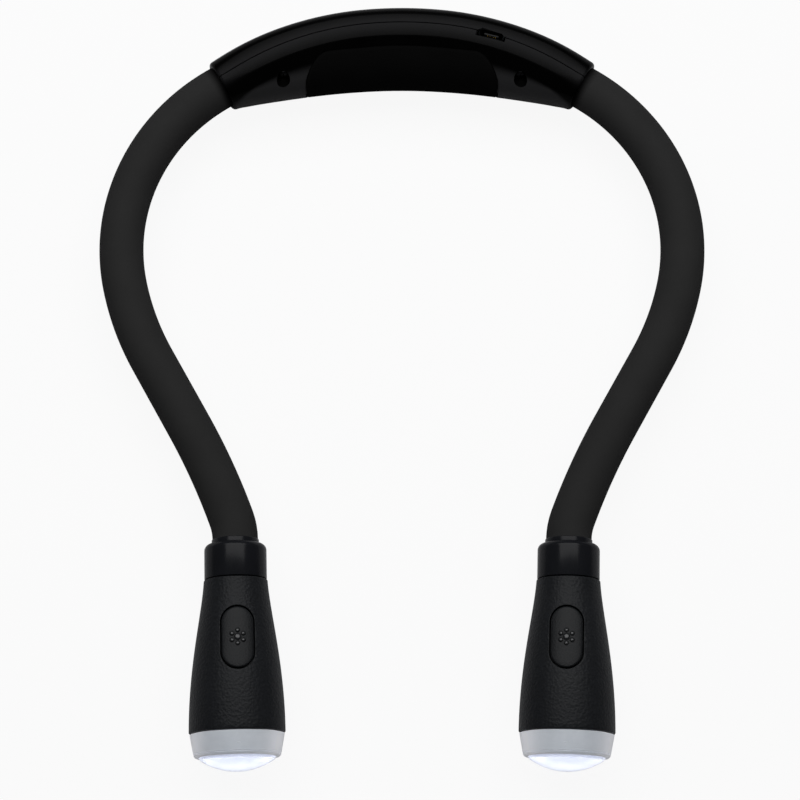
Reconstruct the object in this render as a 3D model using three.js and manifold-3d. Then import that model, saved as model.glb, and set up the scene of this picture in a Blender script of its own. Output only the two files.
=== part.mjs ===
// Neck-worn reading light: a curved battery housing, two flexible arms and two lamp heads
//
// Lengths are in millimetres and +Z is up. The light lies flat with its heads towards -Y and
// its buttons up. While it is built, the origin is the centre of the housing's curved spine
// and z = 0 is the middle plane. The last lines set it down on z = 0.

import * as THREE from "three";
import { mergeVertices } from "three/addons/utils/BufferGeometryUtils.js";
import Module from "manifold-3d";

const wasm = await Module();
wasm.setup();

const degrees = THREE.MathUtils.degToRad;

// Clearances shared by all pieces
const fit = {
  clearance: 0.3,
  overrun: 4,
};

// Battery housing: two crowned shells that meet at a seam along the spine
const housing = {
  spineRadius: 110.7,
  halfTurn: degrees(31),
  height: 28,
  restHalfLength: 12,
  backDepth: 7,
  neckDepth: 16,
  wall: 2.2,
  endWall: 1.1,
  seam: 0.3,
  backFillet: 6.6,
  filletShare: 0.95,
  filletCrease: degrees(21.5),
  bandDepth: 4.3,
  bandShare: 0.68,
  bandSag: 0.25,
  bevelDepth: 3.9,
  bevelShare: 0.76,
  bevelHeight: 2.8,
  faceShare: 0.63,
  lipRadius: 1,
  fallPower: 1.85,
  roundingPower: 8,
};

// Soft pad let into the face that rests on the neck
const pad = {
  width: 60,
  height: 23.6,
  cornerRadius: 7.4,
  thickness: 1,
};

// Screws through the neck-side shell into posts of the back shell
const screw = {
  fromSocket: 9.5,
  fromFace: 6.7,
  headDiameter: 3.5,
  headHeight: 1.6,
  shankDiameter: 2,
  crownShare: 0.8,
  seatFromSeam: 7,
  bite: 4.2,
  postDiameter: 7.4,
};

// Charging socket on the seam, with the board behind it
const charge = {
  turn: degrees(14.6),
  openingWidth: 9,
  openingDepth: 3.2,
  openingChamfer: 0.8,
  socketWidth: 7.5,
  socketDepth: 2.6,
  socketHeight: 5.2,
  socketWall: 0.3,
  socketSunk: 0.6,
  tongueWidth: 4.6,
  tongueDepth: 0.7,
  tongueBase: 1.2,
  boardThickness: 1.2,
  boardUnderRoof: 1,
  boardAwayFromEnd: 10,
  boardTowardsEnd: 4.5,
  boardHeight: 18,
  seatWidth: 6,
};

// Round cell lying along the housing
const cell = {
  canLength: 43,
  shift: -6,
  capRadius: 2.8,
  capHeight: 1,
};

// Arm: a rubber sleeve over a wire core, in stretches that bend or stay straight
const arm = {
  sleeveDiameter: 13.5,
  sleeveBore: 6.8,
  coreGap: 0.7,
  entry: 3,
  clampLength: 7.5,
  coreTail: 2,
  coreInCollar: 5,
  stretchStep: 6,
};
// Bends of the arm's middle line, from the housing to the head
const armBends = {
  rootRadius: 61,
  rootTurn: degrees(71.3),
  nearRadius: 86,
  nearTurn: degrees(17.2),
  straight: 24,
  farRadius: 210,
  farTurn: degrees(-8.6),
  headRadius: 20,
  headTurn: degrees(-19.1),
};
// Lengths of the stretches that the arm is divided into; the last runs on to the head
const armStretches = {
  root: 40,
  near: 22,
  mid: 36,
  far: 22,
};

// Lamp head: measured from the tip of its lens towards the arm
const head = {
  domeSag: 3.4,
  lensProud: 4,
  lensThickness: 5.3,
  ringLength: 7,
  ringStep: 0.25,
  ringTaper: 1.15,
  ringRim: 0.7,
  ringEdge: 0.5,
  ringWall: 1.2,
  bodyLength: 44.5,
  bodyFrontDiameter: 28,
  wall: 1.8,
  spigotLength: 3,
  collarLength: 12.3,
  inwardRoll: degrees(6.4),
  seamStep: 0.2,
  collarShoulder: 2.2,
  shoulderRadius: 1.9,
  lipRim: 0.25,
  lipHeight: 1.4,
  collarWeb: 3.4,
};
// Handles of the curve from the slim seam end of the body to its wide front
const flare = {
  seamHandle: 10,
  seamRise: 0.6,
  frontHandle: 20.2,
};

// Lamp inside the head
const lamp = {
  reflectorWall: 0.8,
  reflectorLength: 11,
  reflectorThroat: 7,
  boardThickness: 1.6,
  emitterDiameter: 3.5,
  emitterHeight: 1.4,
};

// Button in the top of each head, over a switch on its own board
const button = {
  fromSeam: 18.2,
  capWidth: 9.2,
  capLength: 18,
  gap: 0.4,
  proud: 0.2,
  travel: 0.6,
  flangeWidth: 0.9,
  flangeThickness: 0.8,
  stemDiameter: 3,
  stemLength: 1,
};
const switchUnit = {
  width: 6,
  height: 3.4,
  boreDiameter: 4,
  boreDepth: 2.6,
  plungerDiameter: 3.4,
  plungerProud: 0.9,
  boardThickness: 1.2,
  boardLength: 22,
};

// Facets: counts of steps, and of the sides of round pieces
const facets = {
  headSides: 28,
  reflectorSides: 20,
  smallSides: 12,
  screwSides: 10,
  housingSteps: 20,
  lipSteps: 2,
  filletSteps: 3,
  backSteps: 5,
  bandSteps: 1,
  crownSteps: 2,
  neckSteps: 5,
  flareSteps: 8,
  insideSteps: 4,
  domeSteps: 5,
  sleeveSteps: 8,
  boreSides: 8,
  coreSteps: 4,
  cornerSteps: 3,
};

const finish = {
  shellGloss: { color: 0x161617, roughness: 0.28, metalness: 0 },
  shellInner: { color: 0x1b1b1c, roughness: 0.4, metalness: 0 },
  padSoft: { color: 0x0a0a0a, roughness: 0.9, metalness: 0 },
  rubber: { color: 0x1f1f20, roughness: 0.75, metalness: 0 },
  steel: { color: 0x9a9c9e, roughness: 0.35, metalness: 1 },
  collar: { color: 0x141517, roughness: 0.25, metalness: 0 },
  textured: { color: 0x1c1e20, roughness: 0.6, metalness: 0 },
  frosted: { color: 0xaab2ba, roughness: 0.45, metalness: 0 },
  clear: { color: 0xebeefa, roughness: 0.1, metalness: 0 },
  mirror: { color: 0xd8dadd, roughness: 0.15, metalness: 1 },
  board: { color: 0x1f5a34, roughness: 0.6, metalness: 0 },
  emitter: { color: 0xf2edc8, roughness: 0.4, metalness: 0 },
  cellWrap: { color: 0x2a5c9c, roughness: 0.45, metalness: 0 },
  blackPlastic: { color: 0x101010, roughness: 0.5, metalness: 0 },
};

const light = new THREE.Group();

function addPiece(parent, name, geometry, finishValues) {
  const mesh = new THREE.Mesh(geometry, new THREE.MeshStandardMaterial(finishValues));
  mesh.name = name;
  mesh.geometry.computeVertexNormals();
  parent.add(mesh);
  return mesh;
}

// Closed mesh with shared vertices, no slivers on the axis and its faces pointing out
function sealed(geometry) {
  const bare = geometry.clone();
  bare.deleteAttribute("normal");
  bare.deleteAttribute("uv");
  const merged = mergeVertices(bare);
  const place = merged.attributes.position;
  const corners = merged.index.array;
  const kept = [];
  const a = new THREE.Vector3();
  const b = new THREE.Vector3();
  const c = new THREE.Vector3();
  let volume = 0;
  for (let i = 0; i < corners.length; i += 3) {
    const [p, q, r] = [corners[i], corners[i + 1], corners[i + 2]];
    if (p === q || q === r || r === p) continue;
    kept.push([p, q, r]);
    a.fromBufferAttribute(place, p);
    b.fromBufferAttribute(place, q);
    c.fromBufferAttribute(place, r);
    volume += a.dot(b.cross(c));
  }
  const facesOut = volume > 0 ? kept : kept.map(([p, q, r]) => [p, r, q]);
  merged.setIndex(facesOut.flat());
  return merged;
}

function toSolid(geometry) {
  const mesh = sealed(geometry);
  return new wasm.Manifold(new wasm.Mesh({
    numProp: 3,
    vertProperties: new Float32Array(mesh.attributes.position.array),
    triVerts: new Uint32Array(mesh.index.array),
  }));
}

function toGeometry(solid) {
  const mesh = solid.getMesh();
  const geometry = new THREE.BufferGeometry();
  geometry.setAttribute("position", new THREE.BufferAttribute(mesh.vertProperties, 3));
  geometry.setIndex(new THREE.BufferAttribute(mesh.triVerts, 1));
  return geometry;
}

// Lathe about Y from [radius, height] pairs, closed on itself or on the axis
function turned(profile, segments) {
  const points = profile.map(([radius, height]) => new THREE.Vector2(radius, height));
  const onAxis = points[0].x === 0 && points[points.length - 1].x === 0;
  if (!onAxis) points.push(points[0].clone());
  return sealed(new THREE.LatheGeometry(points, segments));
}

// Cylinder along Y between two heights
function rodAlongY(diameter, from, to, segments = facets.smallSides) {
  const rod = new THREE.CylinderGeometry(diameter / 2, diameter / 2, to - from, segments);
  return rod.translate(0, (from + to) / 2, 0);
}

// Cylinder along Z between two heights
function rodAlongZ(diameter, from, to, segments = facets.smallSides) {
  return rodAlongY(diameter, from, to, segments).rotateX(Math.PI / 2);
}

function block(width, depth, height) {
  return new THREE.BoxGeometry(width, depth, height);
}

// Plate with round corners in XY, from one height to another
function roundedPlate(width, length, radius, from, to) {
  const [x, y] = [width / 2 - radius, length / 2 - radius];
  const shape = new THREE.Shape();
  shape.absarc(x, -y, radius, -Math.PI / 2, 0);
  shape.absarc(x, y, radius, 0, Math.PI / 2);
  shape.absarc(-x, y, radius, Math.PI / 2, Math.PI);
  shape.absarc(-x, -y, radius, Math.PI, Math.PI * 1.5);
  const plate = new THREE.ExtrudeGeometry(shape, {
    depth: to - from,
    bevelEnabled: false,
    curveSegments: facets.cornerSteps,
  });
  return plate.translate(0, 0, from);
}

// Arc in plan, even about x = 0, through a middle and an end that lies on a ray from the origin
function planArc(middle, endReach) {
  const endX = endReach * Math.sin(housing.halfTurn);
  const drop = middle - endReach * Math.cos(housing.halfTurn);
  const radius = (endX * endX + drop * drop) / (2 * drop);
  const centre = middle - radius;
  return {
    reach: (turn) => centre * Math.cos(turn)
      + Math.sqrt(radius * radius - (centre * Math.sin(turn)) ** 2),
    depthAt: (x) => centre + Math.sqrt(radius * radius - x * x),
  };
}

// Radii that the arm's sleeve sets in the housing's ends and in the lamp head
const sleeveRadius = arm.sleeveDiameter / 2;
const boreRadius = sleeveRadius + fit.clearance;
const endRadius = boreRadius + housing.endWall;
const coreDiameter = arm.sleeveBore - 2 * arm.coreGap;
const lipRadius = sleeveRadius + head.lipRim;
const collarRadius = lipRadius + head.collarShoulder;
const bodySeamRadius = collarRadius + head.seamStep;

// Radii that follow from the front of the lamp head's body
const bodyFrontRadius = head.bodyFrontDiameter / 2;
const ringBackRadius = bodyFrontRadius - head.ringStep;
const ringFrontRadius = ringBackRadius - head.ringTaper;
const pocketRadius = ringFrontRadius - head.ringRim;
const lensRadius = pocketRadius - fit.clearance;

const backPlan = planArc(housing.spineRadius + housing.backDepth, housing.spineRadius + endRadius);
const neckPlan = planArc(housing.spineRadius - housing.neckDepth, housing.spineRadius - endRadius);

// How far a section has gone from the flat middle, 0, to an end, 1
function endShare(turn) {
  const restTurn = housing.restHalfLength / housing.spineRadius;
  return Math.max(0, (Math.abs(turn) - restTurn) / (housing.halfTurn - restTurn));
}

function halfHeight(turn) {
  const fall = endShare(turn) ** housing.fallPower;
  return housing.height / 2 - (housing.height / 2 - endRadius) * fall;
}

// An inset that thins with the wall towards the ends, where the sleeve's bore sets it
function insetAt(turn, fullInset) {
  return fullInset * (1 + (housing.endWall / housing.wall - 1) * Math.min(1, endShare(turn)));
}

// Points of one shell's outline at a turn of the spine, from its top seam to its bottom seam.
// x is the distance outwards from the spine and y the height.
function shellOutline(side, turn, fullInset, shrink = 0) {
  const inset = insetAt(turn, fullInset);
  const top = halfHeight(turn) - inset;
  const curves = side === "back" ? backCurves(turn, inset, top) : neckCurves(turn, inset, top);
  const points = curves.flatMap(([curve, steps]) => curve.getPoints(steps).slice(0, -1));
  const [lastCurve] = curves[curves.length - 1];
  points.push(lastCurve.getPoint(1));
  const roundness = Math.min(1, endShare(turn)) ** housing.roundingPower;
  for (const point of points) {
    const round = point.clone().setLength(endRadius - inset);
    point.lerp(round, roundness);
    point.setLength(point.length() - shrink);
  }
  const seamSide = side === "back" ? housing.seam / 2 : -housing.seam / 2;
  points[0].x = seamSide;
  points[points.length - 1].x = seamSide;
  return points;
}

function line(fromX, fromY, toX, toY) {
  return new THREE.LineCurve(new THREE.Vector2(fromX, fromY), new THREE.Vector2(toX, toY));
}

// Curve from one point to another that leans towards a third between them
function bend(fromX, fromY, pullX, pullY, toX, toY) {
  return new THREE.QuadraticBezierCurve(
    new THREE.Vector2(fromX, fromY), new THREE.Vector2(pullX, pullY), new THREE.Vector2(toX, toY));
}

function backCurves(turn, inset, top) {
  const depth = backPlan.reach(turn) - housing.spineRadius - inset;
  const room = housing.filletShare * Math.min(depth, top);
  const fillet = Math.min(Math.max(housing.backFillet - inset, fit.clearance), room);
  const arc = Math.PI / 2 - housing.filletCrease;
  const [x, y] = [depth - fillet, top - fillet * Math.sin(arc)];
  const crease = x + fillet * Math.cos(arc);
  const start = housing.seam / 2;
  return [
    [line(start, top, crease, top), facets.bandSteps],
    [new THREE.EllipseCurve(x, y, fillet, fillet, arc, 0, true), facets.filletSteps],
    [line(depth, y, depth, -y), facets.backSteps],
    [new THREE.EllipseCurve(x, -y, fillet, fillet, 0, -arc, true), facets.filletSteps],
    [line(crease, -top, start, -top), facets.bandSteps],
  ];
}

function neckCurves(turn, inset, top) {
  const depth = housing.spineRadius - neckPlan.reach(turn) - inset;
  const band = Math.min(housing.bandDepth, depth * housing.bandShare);
  const bevel = Math.min(housing.bevelDepth, (depth - band) * housing.bevelShare);
  const shoulder = band + bevel;
  const edge = top - housing.bandSag;
  const shoulderTop = top - Math.min(housing.bevelHeight, top / 2);
  const face = shoulderTop * housing.faceShare;
  const start = -housing.seam / 2;
  return [
    [bend(start, top, -band / 2, top, -band, edge), facets.crownSteps],
    [line(-band, edge, -shoulder, shoulderTop), facets.bandSteps],
    [bend(-shoulder, shoulderTop, -depth, face, -depth, 0), facets.neckSteps],
    [bend(-depth, 0, -depth, -face, -shoulder, -shoulderTop), facets.neckSteps],
    [line(-shoulder, -shoulderTop, -band, -edge), facets.bandSteps],
    [bend(-band, -edge, -band / 2, -top, start, -top), facets.crownSteps],
  ];
}

// Turns of the spine at which the housing has a section, with the rounding of its end lips
function housingStations() {
  const lipTurn = housing.lipRadius / housing.spineRadius;
  const stations = [];
  for (let i = 0; i < facets.lipSteps; i++) {
    const angle = (i / facets.lipSteps) * Math.PI / 2;
    stations.push({
      turn: -housing.halfTurn + lipTurn * (1 - Math.cos(angle)),
      shrink: housing.lipRadius * (1 - Math.sin(angle)),
    });
  }
  const reach = housing.halfTurn - lipTurn;
  const middle = Array.from({ length: facets.housingSteps + 1 }, (_, i) => ({
    turn: reach * (2 * i / facets.housingSteps - 1),
    shrink: 0,
  }));
  const farLip = stations.map(({ turn, shrink }) => ({ turn: -turn, shrink })).reverse();
  return [...stations, ...middle, ...farLip];
}

function onSpine(turn, outwards, height) {
  const reach = housing.spineRadius + outwards;
  return new THREE.Vector3(reach * Math.sin(turn), reach * Math.cos(turn), height);
}

// Closed skin through the sections of the housing's stations
function loftAlongSpine(sectionAt) {
  const stations = housingStations();
  const sections = stations.map(sectionAt);
  if (THREE.ShapeUtils.isClockWise(sections[0])) sections.forEach((section) => section.reverse());
  const count = sections[0].length;
  const positions = sections.flatMap((section, i) =>
    section.flatMap((point) => onSpine(stations[i].turn, point.x, point.y).toArray()));
  const faces = [];
  for (let i = 0; i + 1 < sections.length; i++) {
    for (let j = 0; j < count; j++) {
      const [a, b] = [i * count + j, i * count + ((j + 1) % count)];
      faces.push(a, b, b + count, a, b + count, a + count);
    }
  }
  const last = (sections.length - 1) * count;
  for (const [a, b, c] of THREE.ShapeUtils.triangulateShape(sections[0], [])) {
    faces.push(a, c, b);
  }
  for (const [a, b, c] of THREE.ShapeUtils.triangulateShape(sections.at(-1), [])) {
    faces.push(last + a, last + b, last + c);
  }
  const geometry = new THREE.BufferGeometry();
  geometry.setAttribute("position", new THREE.Float32BufferAttribute(positions, 3));
  geometry.setIndex(faces);
  return sealed(geometry);
}

// Open half shell with an even wall, its bore at each end taking the arm's sleeve
function halfShell(side) {
  return toSolid(loftAlongSpine(({ turn, shrink }) => [
    ...shellOutline(side, turn, 0, shrink),
    ...shellOutline(side, turn, housing.wall).reverse(),
  ]));
}

// The space inside one shell's outline, out to the seam
function halfFilled(side, inset) {
  return toSolid(loftAlongSpine(({ turn, shrink }) =>
    shellOutline(side, turn, inset, inset === 0 ? shrink : 0)));
}

// The screws stand beyond the socket's board, and mirrored on the other side
function screwPlaces() {
  const turn = charge.turn + screw.fromSocket / housing.spineRadius;
  const rise = housing.height / 2 - screw.fromFace;
  const places = [];
  for (const side of [-1, 1]) {
    const { x, y } = onSpine(side * turn, 0, 0);
    for (const z of [-rise, rise]) places.push({ x, z, seam: y });
  }
  return places;
}

// A prism on the seam at the charging socket: x along the housing, y outwards, z up
function atSocket(geometry) {
  return geometry.translate(0, housing.spineRadius, 0).rotateZ(-charge.turn);
}

function socketTop() {
  return halfHeight(charge.turn) - charge.socketSunk;
}

function socketOpening() {
  const [x, y] = [charge.openingWidth / 2, charge.openingDepth / 2];
  const chamfer = charge.openingChamfer;
  const shape = new THREE.Shape();
  shape.moveTo(-x, -y);
  shape.lineTo(x, -y);
  shape.lineTo(x, y - chamfer);
  shape.lineTo(x - chamfer, y);
  shape.lineTo(-x + chamfer, y);
  shape.lineTo(-x, y - chamfer);
  const depth = charge.socketSunk + charge.socketHeight + fit.clearance;
  const cutter = new THREE.ExtrudeGeometry(shape, {
    depth: depth + fit.overrun,
    bevelEnabled: false,
  });
  return toSolid(atSocket(cutter.translate(0, 0, halfHeight(charge.turn) - depth)));
}

function backShell() {
  const inside = halfFilled("back", housing.wall / 2);
  let shell = halfShell("back");
  for (const { x, z, seam } of screwPlaces()) {
    const far = seam + housing.backDepth + housing.neckDepth;
    const post = toSolid(rodAlongY(screw.postDiameter, 0, far).translate(x, 0, z));
    const pilot = rodAlongY(screw.shankDiameter + 2 * fit.clearance, 0,
      seam + screw.bite + fit.clearance);
    shell = shell.add(post.intersect(inside)).subtract(toSolid(pilot.translate(x, 0, z)));
  }
  const seatFrom = boardBack() + fit.clearance;
  const seat = atSocket(block(charge.seatWidth, housing.backDepth, charge.seatWidth)
    .translate(0, seatFrom + housing.backDepth / 2, 0));
  return shell.add(toSolid(seat).intersect(inside)).subtract(socketOpening());
}

function neckShell() {
  const inside = halfFilled("neck", housing.wall / 2);
  let shell = halfShell("neck");
  for (const { x, z, seam } of screwPlaces()) {
    const seat = seam - screw.seatFromSeam;
    const post = toSolid(rodAlongY(screw.postDiameter, 0, seam + fit.overrun).translate(x, 0, z));
    const recess = rodAlongY(screw.headDiameter + 2 * fit.clearance, 0, seat);
    const hole = rodAlongY(screw.shankDiameter + 2 * fit.clearance, 0, seam + fit.overrun);
    shell = shell.add(post.intersect(inside))
      .subtract(toSolid(recess.translate(x, 0, z)))
      .subtract(toSolid(hole.translate(x, 0, z)));
  }
  const recessDepth = pad.thickness + fit.clearance;
  const grown = padPrism(fit.clearance);
  return shell.subtract(grown.subtract(halfFilled("neck", recessDepth)))
    .subtract(socketOpening());
}

// Rounded outline of the neck pad, run along Y through the neck side of the housing
function padPrism(growth) {
  const prism = roundedPlate(pad.width + 2 * growth, pad.height + 2 * growth,
    pad.cornerRadius + growth, 0, housing.spineRadius);
  return toSolid(prism.rotateX(-Math.PI / 2));
}

function neckPad() {
  const layer = halfFilled("neck", 0).subtract(halfFilled("neck", pad.thickness));
  return layer.intersect(padPrism(0));
}

function screwPiece({ x, z, seam }) {
  const seat = seam - screw.seatFromSeam - fit.clearance;
  const [headRadius, shankRadius] = [screw.headDiameter / 2, screw.shankDiameter / 2];
  return turned([
    [0, seat - screw.headHeight],
    [headRadius * screw.crownShare, seat - screw.headHeight],
    [headRadius, seat - screw.headHeight / 2],
    [headRadius, seat],
    [shankRadius, seat],
    [shankRadius, seam + screw.bite - shankRadius],
    [0, seam + screw.bite],
  ], facets.screwSides).translate(x, 0, z);
}

function addHousing() {
  addPiece(light, "back_shell", toGeometry(backShell()), finish.shellGloss);
  addPiece(light, "neck_shell", toGeometry(neckShell()), finish.shellInner);
  addPiece(light, "neck_pad", toGeometry(neckPad()), finish.padSoft);
  screwPlaces().forEach((place, i) => {
    addPiece(light, `housing_screw_${i + 1}`, screwPiece(place), finish.steel);
  });
}

// The cell fills the housing from the neck-side wall at the middle to the back wall at its far end
function addCell() {
  const farX = Math.abs(cell.shift) + cell.canLength / 2;
  const near = housing.spineRadius - housing.neckDepth + housing.wall + fit.clearance;
  const back = backPlan.depthAt(farX) - housing.wall - fit.clearance;
  const radius = (back - near) / 2;
  const half = cell.canLength / 2;
  const capRadius = Math.min(cell.capRadius, radius / 2);
  const can = turned([
    [0, -half],
    [radius, -half],
    [radius, half - cell.capHeight],
    [capRadius, half - cell.capHeight],
    [capRadius, half],
    [0, half],
  ], facets.smallSides);
  can.rotateZ(-Math.PI / 2).translate(cell.shift, (back + near) / 2, 0);
  addPiece(light, "battery_cell", can, finish.cellWrap);
}

function boardBack() {
  return charge.socketDepth / 2 + fit.clearance + charge.boardThickness;
}

function addCharging() {
  const top = socketTop();
  const bottom = top - charge.socketHeight;
  const [halfWidth, halfDepth] = [charge.socketWidth / 2, charge.socketDepth / 2];
  const shell = new THREE.Shape();
  shell.moveTo(-halfWidth, -halfDepth).lineTo(halfWidth, -halfDepth);
  shell.lineTo(halfWidth, halfDepth).lineTo(-halfWidth, halfDepth);
  const [innerWidth, innerDepth] = [halfWidth - charge.socketWall, halfDepth - charge.socketWall];
  const hole = new THREE.Path();
  hole.moveTo(-innerWidth, -innerDepth).lineTo(innerWidth, -innerDepth);
  hole.lineTo(innerWidth, innerDepth).lineTo(-innerWidth, innerDepth);
  shell.holes.push(hole);
  const socket = new THREE.ExtrudeGeometry(shell, {
    depth: charge.socketHeight,
    bevelEnabled: false,
  });
  addPiece(light, "usb_socket", sealed(atSocket(socket.translate(0, 0, bottom))), finish.steel);

  const base = block(2 * (innerWidth - fit.clearance), 2 * (innerDepth - fit.clearance),
    charge.tongueBase).translate(0, 0, bottom + charge.tongueBase / 2);
  const tongueHeight = charge.socketHeight - charge.socketSunk;
  const tongue = block(charge.tongueWidth, charge.tongueDepth, tongueHeight)
    .translate(0, 0, bottom + tongueHeight / 2);
  const insert = toSolid(base).add(toSolid(tongue));
  addPiece(light, "usb_tongue", atSocket(toGeometry(insert)), finish.blackPlastic);

  const boardEnd = charge.turn + charge.boardTowardsEnd / housing.spineRadius;
  const boardTop = halfHeight(boardEnd) - housing.wall - charge.boardUnderRoof;
  const width = charge.boardAwayFromEnd + charge.boardTowardsEnd;
  const board = block(width, charge.boardThickness, charge.boardHeight).translate(
    (charge.boardTowardsEnd - charge.boardAwayFromEnd) / 2,
    boardBack() - charge.boardThickness / 2,
    boardTop - charge.boardHeight / 2);
  addPiece(light, "charge_board", sealed(atSocket(board)), finish.board);
}

// Middle line of one arm, by the distance along it from the end of the housing
class ArmRoute {
  constructor(side) {
    this.side = side;
    this.legs = [
      bentLeg(armBends.rootRadius, armBends.rootTurn),
      bentLeg(armBends.nearRadius, armBends.nearTurn),
      { bend: 0, reach: armBends.straight },
      bentLeg(armBends.farRadius, armBends.farTurn),
      bentLeg(armBends.headRadius, armBends.headTurn),
    ];
    this.reach = this.legs.reduce((sum, leg) => sum + leg.reach, 0);
  }

  // Place and heading; negative distances follow the spine back into the housing
  at(distance) {
    const start = {
      x: -housing.spineRadius * Math.sin(housing.halfTurn),
      y: housing.spineRadius * Math.cos(housing.halfTurn),
      heading: housing.halfTurn - Math.PI,
    };
    let here = start;
    let left = distance;
    if (distance < 0) return this.mirrored(advance(start, 1 / housing.spineRadius, distance));
    for (const leg of this.legs) {
      const step = Math.min(left, leg.reach);
      here = advance(here, leg.bend, step);
      left -= step;
      if (left <= 0) break;
    }
    return this.mirrored(left > 0 ? advance(here, 0, left) : here);
  }

  mirrored({ x, y, heading }) {
    return this.side < 0 ? { x, y, heading } : { x: -x, y, heading: Math.PI - heading };
  }
}

// Leg of a route along an arc: bend is the signed change of heading per length
function bentLeg(radius, turn) {
  return { bend: Math.sign(turn) / radius, reach: radius * Math.abs(turn) };
}

// One step along a bend
function advance({ x, y, heading }, bend, length) {
  if (bend === 0) {
    return { x: x + length * Math.cos(heading), y: y + length * Math.sin(heading), heading };
  }
  const turnedTo = heading + bend * length;
  return {
    x: x + (Math.sin(turnedTo) - Math.sin(heading)) / bend,
    y: y - (Math.cos(turnedTo) - Math.cos(heading)) / bend,
    heading: turnedTo,
  };
}

// Part of an arm's middle line as a curve that a section can be extruded along
class ArmStretch extends THREE.Curve {
  constructor(route, from, to) {
    super();
    this.route = route;
    this.from = from;
    this.to = to;
  }

  getPoint(t, target = new THREE.Vector3()) {
    const { x, y } = this.route.at(this.from + (this.to - this.from) * t);
    return target.set(x, y, 0);
  }
}

function tubeSection(diameter, bore) {
  const section = new THREE.Shape().absarc(0, 0, diameter / 2, 0, Math.PI * 2);
  const ring = new THREE.EllipseCurve(0, 0, bore / 2, bore / 2).getPoints(facets.boreSides);
  if (bore > 0) section.holes.push(new THREE.Path(ring.slice(0, -1)));
  return section;
}

function extrudedAlong(route, section, sides, from, to) {
  return sealed(new THREE.ExtrudeGeometry(section, {
    steps: Math.max(2, Math.round((to - from) / arm.stretchStep)),
    curveSegments: sides,
    bevelEnabled: false,
    extrudePath: new ArmStretch(route, from, to),
  }));
}

// Ends of an arm's five stretches, which its sleeve and its core share
function stretchEnds(route) {
  const near = armStretches.root;
  const mid = near + armStretches.near;
  const far = mid + armStretches.mid;
  const last = far + armStretches.far;
  return [
    ["root", -arm.entry, near],
    ["near", near, mid],
    ["mid", mid, far],
    ["far", far, last],
    ["head", last, route.reach],
  ];
}

function addArm(route, sideName) {
  const ends = stretchEnds(route);
  const sleeve = tubeSection(arm.sleeveDiameter, arm.sleeveBore);
  const core = tubeSection(coreDiameter, 0);
  const coreStart = -arm.entry - 2 * fit.clearance - arm.clampLength - arm.coreTail;
  for (const [name, from, to] of ends) {
    const tube = extrudedAlong(route, sleeve, facets.sleeveSteps, from, to - fit.clearance);
    addPiece(light, `sleeve_${name}_${sideName}`, tube, finish.rubber);
    const coreFrom = name === "root" ? coreStart : from;
    const coreTo = name === "head" ? to + arm.coreInCollar : to - fit.clearance;
    const wire = extrudedAlong(route, core, facets.coreSteps, coreFrom, coreTo);
    addPiece(light, `core_${name}_${sideName}`, wire, finish.steel);
  }
  const clampEnd = -arm.entry - fit.clearance;
  const innerTurn = housing.halfTurn + (clampEnd - arm.clampLength) / housing.spineRadius;
  const space = backPlan.reach(innerTurn) - housing.spineRadius - insetAt(innerTurn, housing.wall);
  const clamp = extrudedAlong(route,
    tubeSection(2 * (space - fit.clearance), coreDiameter + 2 * fit.clearance),
    facets.sleeveSteps, clampEnd - arm.clampLength, clampEnd);
  addPiece(light, `arm_clamp_${sideName}`, clamp, finish.blackPlastic);
}

// Heights in the lamp head, from the tip of the lens
const ringFront = head.lensProud;
const bodyFront = ringFront + head.ringLength;
const bodySeam = bodyFront + head.bodyLength;
const mouth = bodySeam + head.collarLength;

// Outer curve of the body from its seam to its front, as [radius, height] points
function bodyCurve() {
  return new THREE.CubicBezierCurve(
    new THREE.Vector2(bodySeamRadius, bodySeam),
    new THREE.Vector2(bodySeamRadius + flare.seamRise, bodySeam - flare.seamHandle),
    new THREE.Vector2(bodyFrontRadius, bodyFront + flare.frontHandle),
    new THREE.Vector2(bodyFrontRadius, bodyFront),
  );
}

function bodyProfile(inset, steps) {
  return bodyCurve().getPoints(steps).map((point) => [point.x - inset, point.y]);
}

// Radius of the body's outer curve at a height
function bodyRadius(height) {
  const curve = bodyCurve();
  let [low, high] = [0, 1];
  while (high - low > 1e-6) {
    const middle = (low + high) / 2;
    if (curve.getPoint(middle).y > height) low = middle;
    else high = middle;
  }
  return curve.getPoint(low).x;
}

// The body's outline as a filled solid, drawn in by an inset
function bodyFilled(inset) {
  const profile = bodyProfile(inset, facets.flareSteps);
  return toSolid(turned([[0, bodySeam], ...profile, [0, bodyFront]], facets.headSides));
}

const buttonHeight = bodySeam - button.fromSeam;

function buttonPrism(growth) {
  const width = button.capWidth + 2 * growth;
  const top = head.bodyFrontDiameter;
  return toSolid(roundedPlate(width, button.capLength + 2 * growth, width / 2, 0, top)
    .translate(0, buttonHeight, 0));
}

function headBody() {
  const outer = bodyProfile(0, facets.flareSteps);
  const inner = bodyProfile(head.wall, facets.insideSteps).reverse();
  const body = toSolid(turned([...outer, ...inner], facets.headSides));
  return body.subtract(buttonPrism(button.gap));
}

// Levels under the button, along Z from the head's axis
const flangeUnderside = bodyRadius(buttonHeight) - head.wall - fit.clearance
  - button.flangeThickness;
const stemEnd = flangeUnderside - button.stemLength;
const plungerTop = stemEnd - fit.clearance;
const switchTop = plungerTop - switchUnit.plungerProud;
const switchBottom = switchTop - switchUnit.height;
const switchBoardTop = switchBottom - fit.clearance;

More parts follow.
